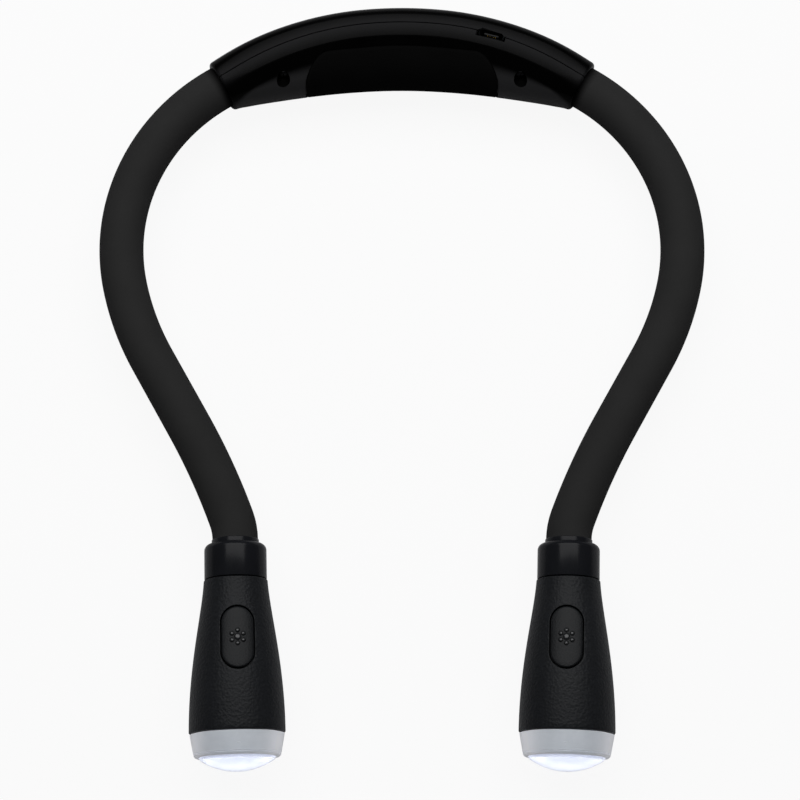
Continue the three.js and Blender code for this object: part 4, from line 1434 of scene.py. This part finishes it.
@dataclass
class Arm:
    """Rubber sleeve over a wire core, from the housing to the head."""

    side: Side
    housing: Housing
    sleeve_radius: float = 6.75
    sleeve_bore: float = 3.4
    core_radius: float = 2.7
    entry: float = 3.0
    core_tail: float = 13.1
    core_in_collar: float = 5.0
    sleeve_step: float = 1.6
    core_step: float = 2.4
    sleeve_sides: int = 64
    core_sides: int = 20
    # Where the five stretches meet
    marks: Sequence[float] = (40.0, 62.0, 98.0, 120.0)
    legs: Sequence[Leg] = (Leg.arc(61, 71.3), Leg.arc(86, 17.2), Leg(24.0), Leg.arc(210, -8.6),
                           Leg.arc(20, -19.1))

    @property
    def reach(self) -> float:
        """Length of the middle line."""
        return sum(leg.reach for leg in self.legs)

    def at(self, distance: float) -> tuple[Vector, float]:
        """Point and heading of the middle line.

        Args:
            distance: How far along it, from the end of the housing.

        Returns:
            The point and the heading.
        """
        turn = self.housing.half_turn
        point, heading = self.housing.on_spine(-turn, 0, 0), turn - math.pi
        if distance < 0:
            point, heading = self._advance(point, heading, 1 / self.housing.spine_radius, distance)
        left = max(distance, 0.0)
        for leg in (*self.legs, Leg(math.inf)):
            part = min(left, leg.reach)
            point, heading = self._advance(point, heading, leg.bend, part)
            left -= part
        if self.side is Side.RIGHT:
            return Vector((-point.x, point.y, 0)), math.pi - heading
        return point, heading

    @staticmethod
    def _advance(point: Vector, heading: float, bend: float,
                 length: float) -> tuple[Vector, float]:
        """One step along a bend."""
        if bend == 0:
            way = Vector((math.cos(heading), math.sin(heading), 0))
            return point + way * length, heading
        turned = heading + bend * length
        return point + Vector(((math.sin(turned) - math.sin(heading)) / bend,
                               (math.cos(heading) - math.cos(turned)) / bend, 0)), turned

    def frames(self, start: float, end: float, step: float) -> list[Matrix]:
        """Frames along a part of the middle line, whose Z is the way ahead."""
        count = max(2, round((end - start) / step))
        made = []
        for i in range(count + 1):
            point, heading = self.at(start + (end - start) * i / count)
            made.append(Matrix.Translation(point) @ Matrix.Rotation(heading, 4, "Z")
                        @ Matrix.Rotation(math.pi / 2, 4, "Y"))
        return made

    def stretches(self) -> list[Stretch]:
        """The arm's stretches and the bodies that they ride on."""
        side = self.side.label
        near, far, head = f"near_arm_{side}", f"far_arm_{side}", f"head_{side}"
        rides = {"root": ("housing", near), "near": (near,), "mid": (near, far), "far": (far,),
                 "head": (far, head)}
        ends = (0.0, *self.marks, self.reach)
        return [Stretch(name, start, end, bodies)
                for (name, bodies), start, end in zip(rides.items(), ends, ends[1:])]

    def build(self, fitter: Fitter) -> None:
        """Build the sleeve and the core of each stretch."""
        for stretch in self.stretches():
            is_root, is_head = stretch.name == "root", stretch.name == "head"
            start = -self.entry if is_root else stretch.start
            sleeve = Solid.swept(self.frames(start, stretch.end, self.sleeve_step),
                                 self.sleeve_radius, self.sleeve_bore, self.sleeve_sides)
            self.fit(fitter, stretch, "sleeve", sleeve, SLEEVE_RUBBER, "sleeve_rubber")
            start = -self.core_tail if is_root else stretch.start
            end = stretch.end + (self.core_in_collar if is_head else 0.0)
            core = Solid.swept(self.frames(start, end, self.core_step), self.core_radius, 0.0,
                               self.core_sides)
            self.fit(fitter, stretch, "core", core, CORE_WIRE, "core_wire")

    def fit(self, fitter: Fitter, stretch: Stretch, kind: str, solid: Solid, finish: Finish,
            slot: str) -> None:
        """Add one piece of a stretch and let it ride on its body where it has one.

        Args:
            fitter: Makes the piece.
            stretch: Where the piece is and what it rides on.
            kind: Sleeve or core.
            solid: The shape.
            finish: The finish.
            slot: The record's material slot.
        """
        node = f"{kind}_{stretch.name}_{self.side.label}"
        rides = stretch.bodies[0] if len(stretch.bodies) == 1 else None
        piece = fitter.add(f"{node}_tube", solid, finish, rides, slot, [node])
        if rides is None:
            start, end = (tuple((self.at(distance)[0] + SET_DOWN) * MM)
                          for distance in (stretch.start, stretch.end))
            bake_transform(piece)
            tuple(start)
            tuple(end)


# Lamp heads


@dataclass
class LampHead:
    """Collar, flared body, button, frosted ring, lens and the lamp behind it."""

    side: Side
    arm: Arm
    roll: float = math.radians(6.4)
    # Heights over the lens tip
    ring_front: float = 4.0
    body_front: float = 11.0
    button_middle: float = 37.3
    body_seam: float = 55.5
    mouth: float = 67.8
    # Widths of the softened edges
    wide_soft: float = 0.3
    soft: float = 0.25
    narrow_soft: float = 0.2
    fine_soft: float = 0.12
    # Wall and gap, and the spigots by which collar and ring sit in the body
    wall: float = 1.8
    clearance: float = 0.3
    spigot_wall: float = 1.2
    spigot_length: float = 3.0
    # Collar
    collar_radius: float = 9.2
    shoulder_round: float = 1.9
    lip_radius: float = 7.0
    lip_height: float = 1.4
    core_bore: float = 3.0
    collar_floor: float = 3.4
    # Body; each run is how far its curve keeps the heading that it has at that end
    seam_radius: float = 9.4
    seam_swell: float = 0.6
    seam_run: float = 10.0
    front_run: float = 20.2
    front_radius: float = 14.0
    flare_steps: int = 40
    flare_halvings: int = 30
    # Button: its outline, the rings inside its rim, its flange, its stem and its groove
    button_outline: RoundedOutline = RoundedOutline(9.2, 18.0, 4.6, 12, 10)
    button_rings: Sequence[float] = (-4.6, -4.2, -3.5, -2.6, -1.6)
    button_proud: float = 0.2
    button_rim: float = 0.5
    button_under_ring: float = -1.2
    button_sole: float = 0.4
    flange_width: float = 0.9
    flange_thickness: float = 0.5
    stem_radius: float = 1.5
    stem_length: float = 1.6
    stem_overlap: float = 0.2
    groove: float = 0.4
    groove_floor: float = 6.0
    groove_lip: Sequence[Pair] = ((0.0, -0.2), (0.06, -0.05), (0.15, 0.0), (0.4, 2.0))
    # Dots: the radii, and the share of the radius and the level of each ring; under each dot lies a
    # dark disc, the seat, that is a painted shadow round it
    dot_circle: float = 1.9
    middle_dot: float = 0.9
    outer_dot: float = 0.55
    seat_growth: float = 0.2
    dot_sides: int = 24
    dome: Sequence[Pair] = ((1.0, -0.15), (1.0, 0.08), (0.93, 0.22), (0.76, 0.33), (0.45, 0.39),
                            (0.0, 0.41))
    # Profile of the dark disc under each dot, which is a painted shadow
    seat: Sequence[Pair] = ((1.0, -0.15), (1.0, 0.03), (0.94, 0.05), (0.0, 0.05))
    # Ring; the groove's levels, over its start, are its floor's start and end and its own end
    ring_front_radius: float = 12.6
    ring_back_radius: float = 13.75
    ring_chamfer: float = 0.5
    ring_groove: float = 0.8
    ring_groove_depth: float = 0.45
    ring_groove_levels: tuple[float, float, float] = (0.08, 0.3, 0.38)
    gate: Sequence[float] = (0.9, 0.5, 0.5)
    gate_height: float = 3.2
    gate_proud: float = 0.3
    # Lens
    lens_radius: float = 10.9
    lens_thickness: float = 5.3
    dome_sag: float = 3.4
    dome_steps: int = 20
    # Reflector, and the chip's profile in front of the reflector's throat
    cup_depth: float = 11.0
    cup_wall: float = 0.8
    throat: float = 3.5
    cup_steps: int = 16
    chip: Sequence[Pair] = ((0, 0), (1.75, 0), (1.75, 0.7), (1.5, 0.75), (1.3, 1.15), (0.8, 1.36),
                            (0, 1.4))

    @property
    def body(self) -> str:
        """Name of the body that the head rides on."""
        return f"head_{self.side.label}"

    def place(self) -> Matrix:
        """The head's frame in the spine's frame."""
        end, heading = self.arm.at(self.arm.reach)
        tip = end + Vector((math.cos(heading), math.sin(heading), 0)) * self.mouth
        return (Matrix.Translation(tip) @ Matrix.Rotation(heading + math.pi / 2, 4, "Z")
                @ Matrix.Rotation(-self.side.value * self.roll, 4, "Y"))

    def flare_point(self, share: float) -> Pair:
        """Point of the body's outer curve, from its slim seam end, 0, to its front, 1."""
        return curve_point(share, (self.seam_radius, self.body_seam),
                           (self.seam_radius + self.seam_swell, self.body_seam - self.seam_run),
                           (self.front_radius, self.body_front + self.front_run),
                           (self.front_radius, self.body_front))

    def flare_radius(self, height: float) -> float:
        """Radius of the body's outer curve at a height."""
        low, high = 0.0, 1.0
        for _ in range(self.flare_halvings):
            middle = (low + high) / 2
            low, high = (middle, high) if self.flare_point(middle)[1] > height else (low, middle)
        return self.flare_point(low)[0]

    def on_body(self, x: float, y: float, level: float) -> Vector:
        """Carrier of the button: the top of the body's outer surface, raised by a level."""
        height = self.button_middle + y
        reach = self.flare_radius(height) + level
        return Vector((x, height, math.sqrt(max(reach * reach - x * x, 0.0))))

    def add(self, fitter: Fitter, name: str, solid: Solid, finish: Finish, slot: str,
            node: Optional[str] = None, body: Optional[str] = None) -> None:
        """Add a piece that was made in the head's frame."""
        side = self.side.label
        fitter.add(f"{name}_{side}", solid.move(self.place()), finish, body or self.body, slot,
                   [f"{node}_{side}"] if node else [])

    def build(self, fitter: Fitter) -> None:
        """Build all pieces of the head."""
        side = self.side.label
        self.build_collar(fitter)
        self.build_body(fitter)
        self.build_button(fitter)
        self.build_ring(fitter)
        self.build_lens(fitter)
        self.build_lamp(fitter)
        for node, finish in (("tact_switch", INNER_BLACK), ("switch_plunger", INNER_BLACK),
                             ("switch_board", BOARD), ("led_board", BOARD)):
            fitter.dress(f"{node}_{side}", finish)

    def build_collar(self, fitter: Fitter) -> None:
        """Glossy collar with a round shoulder and a lip round the sleeve."""
        back, shoulder_top = self.body_seam + self.clearance, self.mouth - self.lip_height
        radius, floor = self.shoulder_round, self.mouth - self.collar_floor
        shoulder = [(self.collar_radius - radius + radius * math.cos(a),
                     shoulder_top - radius + radius * math.sin(a)) for a in quarter_turn(10)]
        spigot = self.seam_radius - self.wall - self.clearance
        inside, end = spigot - self.spigot_wall, self.body_seam - self.spigot_length
        profile = [(self.collar_radius, back), *shoulder, (self.lip_radius, shoulder_top),
                   (self.lip_radius, self.mouth), (self.core_bore, self.mouth),
                   (self.core_bore, floor), (inside, floor), (inside, end), (spigot, end),
                   (spigot, back)]
        lip_edge = len(shoulder) + 2
        collar = Solid.turned(profile, sides=128)
        collar.soften(0, self.narrow_soft).soften(lip_edge, self.soft)
        self.add(fitter, "collar_moulding", collar, COLLAR_GLOSS, "collar_gloss", "collar")

    def build_body(self, fitter: Fitter) -> None:
        """Flared body with the groove that the button sits in."""
        steps = self.flare_steps
        outer = [self.flare_point(i / steps) for i in range(steps + 1)]
        inner = [(radius - self.wall, height) for radius, height in outer[::-4]]
        body = Solid.turned([*outer, *inner], sides=144)
        body.soften(0, self.soft).soften(steps, self.wide_soft)
        far, floor = -self.button_outline.radius - self.groove, -self.groove_floor
        lip = [(self.groove + growth, level) for growth, level in self.groove_lip]
        body.cut(Cut.TAKE_AWAY, self.button_outline.raised(
            [(far, floor), (self.groove, floor), *lip, (far, lip[-1][1])], self.on_body))
        self.add(fitter, "head_body_moulding", body, HEAD_GRAIN, "head_textured", "head_body")

    def build_button(self, fitter: Fitter) -> None:
        """Button cap with its flange and stem, and seven raised dots on dark discs that are painted
        shadows.
        """
        inner, under = self.button_rings[0], -self.wall - self.clearance
        sole, edge = under - self.button_sole, self.groove + self.flange_width
        cap = self.button_outline.raised(
            [(inner, sole), (self.button_under_ring, sole), (0.0, sole),
             *rounded_rim(0.0, self.button_proud, self.button_rim, 5),
             *((growth, self.button_proud) for growth in reversed(self.button_rings))],
            self.on_body)
        below = under - self.flange_thickness
        cap.cut(Cut.ADD, self.button_outline.raised(
            [(inner, below), (edge, below), (edge, under), (inner, under)], self.on_body))
        top = self.flare_radius(self.button_middle) + under - self.stem_overlap
        foot, radius = top - self.stem_length, self.stem_radius
        stem = Solid.turned([(0, foot), (radius, foot), (radius, top), (0, top)], sides=32)
        cap.cut(Cut.ADD, stem.move(Matrix.Translation((0, self.button_middle, 0))
                                   @ Matrix.Rotation(math.pi / 2, 4, "X")))
        body = f"button_{self.side.label}"
        self.add(fitter, "button_cap", cap, BUTTON_GRAIN, "button_textured", "button", body)
        places = [(0.0, 0.0, self.middle_dot)]
        places += [(self.dot_circle * math.sin(turn), self.dot_circle * math.cos(turn),
                    self.outer_dot) for turn in (math.tau * i / 6 for i in range(6))]
        # The second row is the painted shadow round each dot
        for name, profile, growth, finish in (
                ("button_dots", self.dome, 0.0, DOT_GLOSS),
                ("button_dot_seats", self.seat, self.seat_growth, DOT_SHADOW_BLACK)):
            dots = Solid.joined(self.dot(x, y, radius + growth, profile)
                                for x, y, radius in places)
            self.add(fitter, name, dots, finish, "button_textured", None, body)

    def dot(self, x: float, y: float, radius: float, profile: Sequence[Pair]) -> Solid:
        """Low round boss on the button, from its profile of shares of its radius and levels."""
        rings = [(0.0, profile[0][1])] + [(share * radius, level) for share, level in profile]
        return Solid.lofted(len(rings), self.dot_sides, lambda ring, column: self.on_body(
            x + rings[ring][0] * math.cos(math.tau * column / self.dot_sides),
            y + rings[ring][0] * math.sin(math.tau * column / self.dot_sides),
            self.button_proud + rings[ring][1]))

    def build_ring(self, fitter: Fitter) -> None:
        """Frosted ring with a fine groove near its front and a gate mark."""
        front, back = self.ring_front, self.body_front - self.clearance
        chamfer, front_radius = self.ring_chamfer, self.ring_front_radius
        spigot = self.front_radius - self.wall - self.clearance
        inside, end = spigot - self.spigot_wall, self.body_front + self.spigot_length
        pocket, seat = self.lens_radius + self.clearance, self.lens_thickness + self.clearance
        slope = (self.ring_back_radius - front_radius) / (back - front - chamfer)
        groove = front + self.ring_groove
        at_groove = front_radius + slope * (groove - front - chamfer)
        floor = at_groove - self.ring_groove_depth
        floor_start, floor_end, groove_end = self.ring_groove_levels
        profile = [(front_radius - chamfer, front), (front_radius, front + chamfer),
                   (at_groove, groove), (floor, groove + floor_start), (floor, groove + floor_end),
                   (at_groove + slope * groove_end, groove + groove_end),
                   (self.ring_back_radius, back), (spigot, back), (spigot, end), (inside, end),
                   (inside, seat), (pocket, seat), (pocket, front)]
        ring = Solid.turned(profile, sides=128).soften(6, self.soft)
        ring.soften(0, self.fine_soft, 2).soften(1, self.narrow_soft, 2)
        gate = Solid.block(self.gate, (
            0, front + self.gate_height, front_radius + self.gate_proud))
        ring.with_part(gate.soften_all(self.fine_soft))
        self.add(fitter, "lens_ring_moulding", ring, RING_FROST, "ring_frosted", "lens_ring")

    def build_lens(self, fitter: Fitter) -> None:
        """Domed lens."""
        sphere = (self.lens_radius ** 2 + self.dome_sag ** 2) / (2 * self.dome_sag)
        half, steps = math.asin(self.lens_radius / sphere), self.dome_steps
        dome = [(sphere * math.sin(a), sphere * (1 - math.cos(a)))
                for a in (half * i / steps for i in range(steps + 1))]
        lens = Solid.turned([*dome, (self.lens_radius, self.lens_thickness),
                             (0, self.lens_thickness)]).soften(steps, self.soft)
        self.add(fitter, "lens_dome", lens, LENS_CLEAR, "lens_clear", "lens")

    def build_lamp(self, fitter: Fitter) -> None:
        """Mirrored reflector and the chip at its throat."""
        rim = self.front_radius - self.wall - 2 * self.clearance - self.spigot_wall
        front, wall = self.lens_thickness + 2 * self.clearance, self.cup_wall
        back = front + self.cup_depth
        cone = [curve_point(i / self.cup_steps, (rim - wall, front),
                            (rim - 2 * wall, (front + back) / 2), (self.throat, back))
                for i in range(self.cup_steps + 1)]
        shell = [*cone, *((radius + wall, height) for radius, height in reversed(cone))]
        self.add(fitter, "reflector_cup", Solid.turned(shell, sides=72), MIRROR,
                 "reflector_bright", "reflector")
        chip = Solid.turned([(radius, back - level) for radius, level in self.chip], sides=40)
        self.add(fitter, "led_chip", chip, GEL, "emitter_phosphor", "led_emitter")


# Stage


@dataclass
class Stage:
    """Pale floor, one soft studio lamp, white surroundings and the camera.

    Lengths are in millimetres. A strength of 1 is white.
    """

    floor_half_side: float = 3000.0
    floor_drop: float = 0.2
    paper: Sequence[float] = (0.6, 0.6, 0.61, 1)
    paper_whitened: float = 0.92
    lamp_at: Vector = field(default_factory=lambda: Vector((0, 295, 590)))
    lamp_aim: Vector = field(default_factory=lambda: Vector((0, 30, 0)))
    lamp_size: Pair = (900.0, 560.0)
    lamp_power: float = 5.1
    # Height in the surroundings, from -1 to 1, where the wall starts and ends to turn to ceiling
    horizon: Pair = (-0.1, 0.12)
    seen_wall: float = 0.93
    seen_rise: float = 0.07
    mirrored_wall: float = 0.5
    mirrored_fall: float = 0.48
    ambient: float = 0.14
    camera_at: Vector = field(default_factory=lambda: Vector((-0.605, -162.403, 593.556)))
    camera_aim: Vector = field(default_factory=lambda: Vector((-0.605, -7.111, 14.0)))
    camera_lens: float = 89.28
    camera_sensor: float = 36.0

    def build(self) -> None:
        """Build everything that isn't part of the light."""
        self.build_floor()
        self.build_world()
        self.build_lamp()
        self.build_camera()

    def build_floor(self) -> None:
        """Plain floor that keeps the light's shadow and looks white."""
        mesh = bmesh.new()
        bmesh.ops.create_grid(mesh, x_segments=1, y_segments=1, size=self.floor_half_side * MM)
        data = bpy.data.meshes.new("floor")
        mesh.to_mesh(data)
        mesh.free()
        floor = linked("floor", data)
        floor.location.z = -self.floor_drop * MM
        material = bpy.data.materials.new("floor_white")
        tree = Tree(material)
        paper = tree.add("ShaderNodeBsdfDiffuse", {}, {"Color": self.paper})
        white = tree.add("ShaderNodeEmission", {}, {"Color": (1, 1, 1, 1), "Strength": 1.0})
        mix = tree.add("ShaderNodeMixShader", {}, {
            0: self.seen(tree) * self.paper_whitened, 1: paper.outputs[0], 2: white.outputs[0]})
        tree.add("ShaderNodeOutputMaterial", {}, {"Surface": mix.outputs[0]})
        data.materials.append(material)

    @staticmethod
    def seen(tree: Tree, *others: str) -> Value:
        """1 for rays from the camera or through glass, and for rays of the kinds asked for."""
        rays = tree.add("ShaderNodeLightPath")
        share = Value(tree, rays.outputs["Is Camera Ray"])
        for name in ("Is Transmission Ray", *others):
            share = share.larger(rays.outputs[name])
        return share

    def build_world(self) -> None:
        """Soft light from all round, and white where it is seen."""
        world = bpy.data.worlds.new("studio")
        bpy.context.scene.world = world
        tree = Tree(world)
        height = tree.split(tree.add("ShaderNodeTexCoord").outputs["Generated"], "Z")
        ceiling = height.share(*self.horizon)
        white, either = self.seen(tree), self.seen(tree, "Is Glossy Ray")
        mirrored = (either - white) * (self.mirrored_wall - ceiling * self.mirrored_fall)
        glow = (white * (self.seen_wall + ceiling * self.seen_rise) + mirrored
                + (1 - either) * self.ambient)
        background = tree.add("ShaderNodeBackground", {}, {
            "Color": (1, 1, 1, 1), "Strength": glow})
        tree.add("ShaderNodeOutputWorld", {}, {"Surface": background.outputs[0]})

    def build_lamp(self) -> None:
        """Wide soft lamp behind and above the light."""
        data = bpy.data.lights.new("overhead", "AREA")
        data.shape = "RECTANGLE"
        data.size, data.size_y = (side * MM for side in self.lamp_size)
        data.energy = self.lamp_power
        self.point(linked("overhead", data), self.lamp_at, self.lamp_aim)

    def build_camera(self) -> None:
        """Camera at the photograph's viewing angle."""
        data = bpy.data.cameras.new("camera")
        data.lens, data.sensor_width = self.camera_lens, self.camera_sensor
        camera = linked("camera", data)
        self.point(camera, self.camera_at, self.camera_aim)
        bpy.context.scene.camera = camera

    @staticmethod
    def point(thing: bpy.types.Object, place: Vector, aim: Vector) -> None:
        """Hang a lamp or camera at a place and point it at another."""
        thing.location = place * MM
        thing.rotation_euler = (aim - place).to_track_quat("-Z", "Y").to_euler()


def main() -> None:
    """Build the light and its stage in order."""
    logging.basicConfig(level=logging.INFO, format="%(name)s: %(message)s")
    stage = Stage()
    stage.build()
    fitter = Fitter()
    housing = Housing()
    housing.build(fitter)
    for side in Side:
        arm = Arm(side, housing)
        arm.build(fitter)
        LampHead(side, arm).build(fitter)
    bpy.context.scene.view_settings.view_transform = "Standard"
    log.info("new pieces: %d triangles", fitter.triangles)


if __name__ == "__main__":
    main()
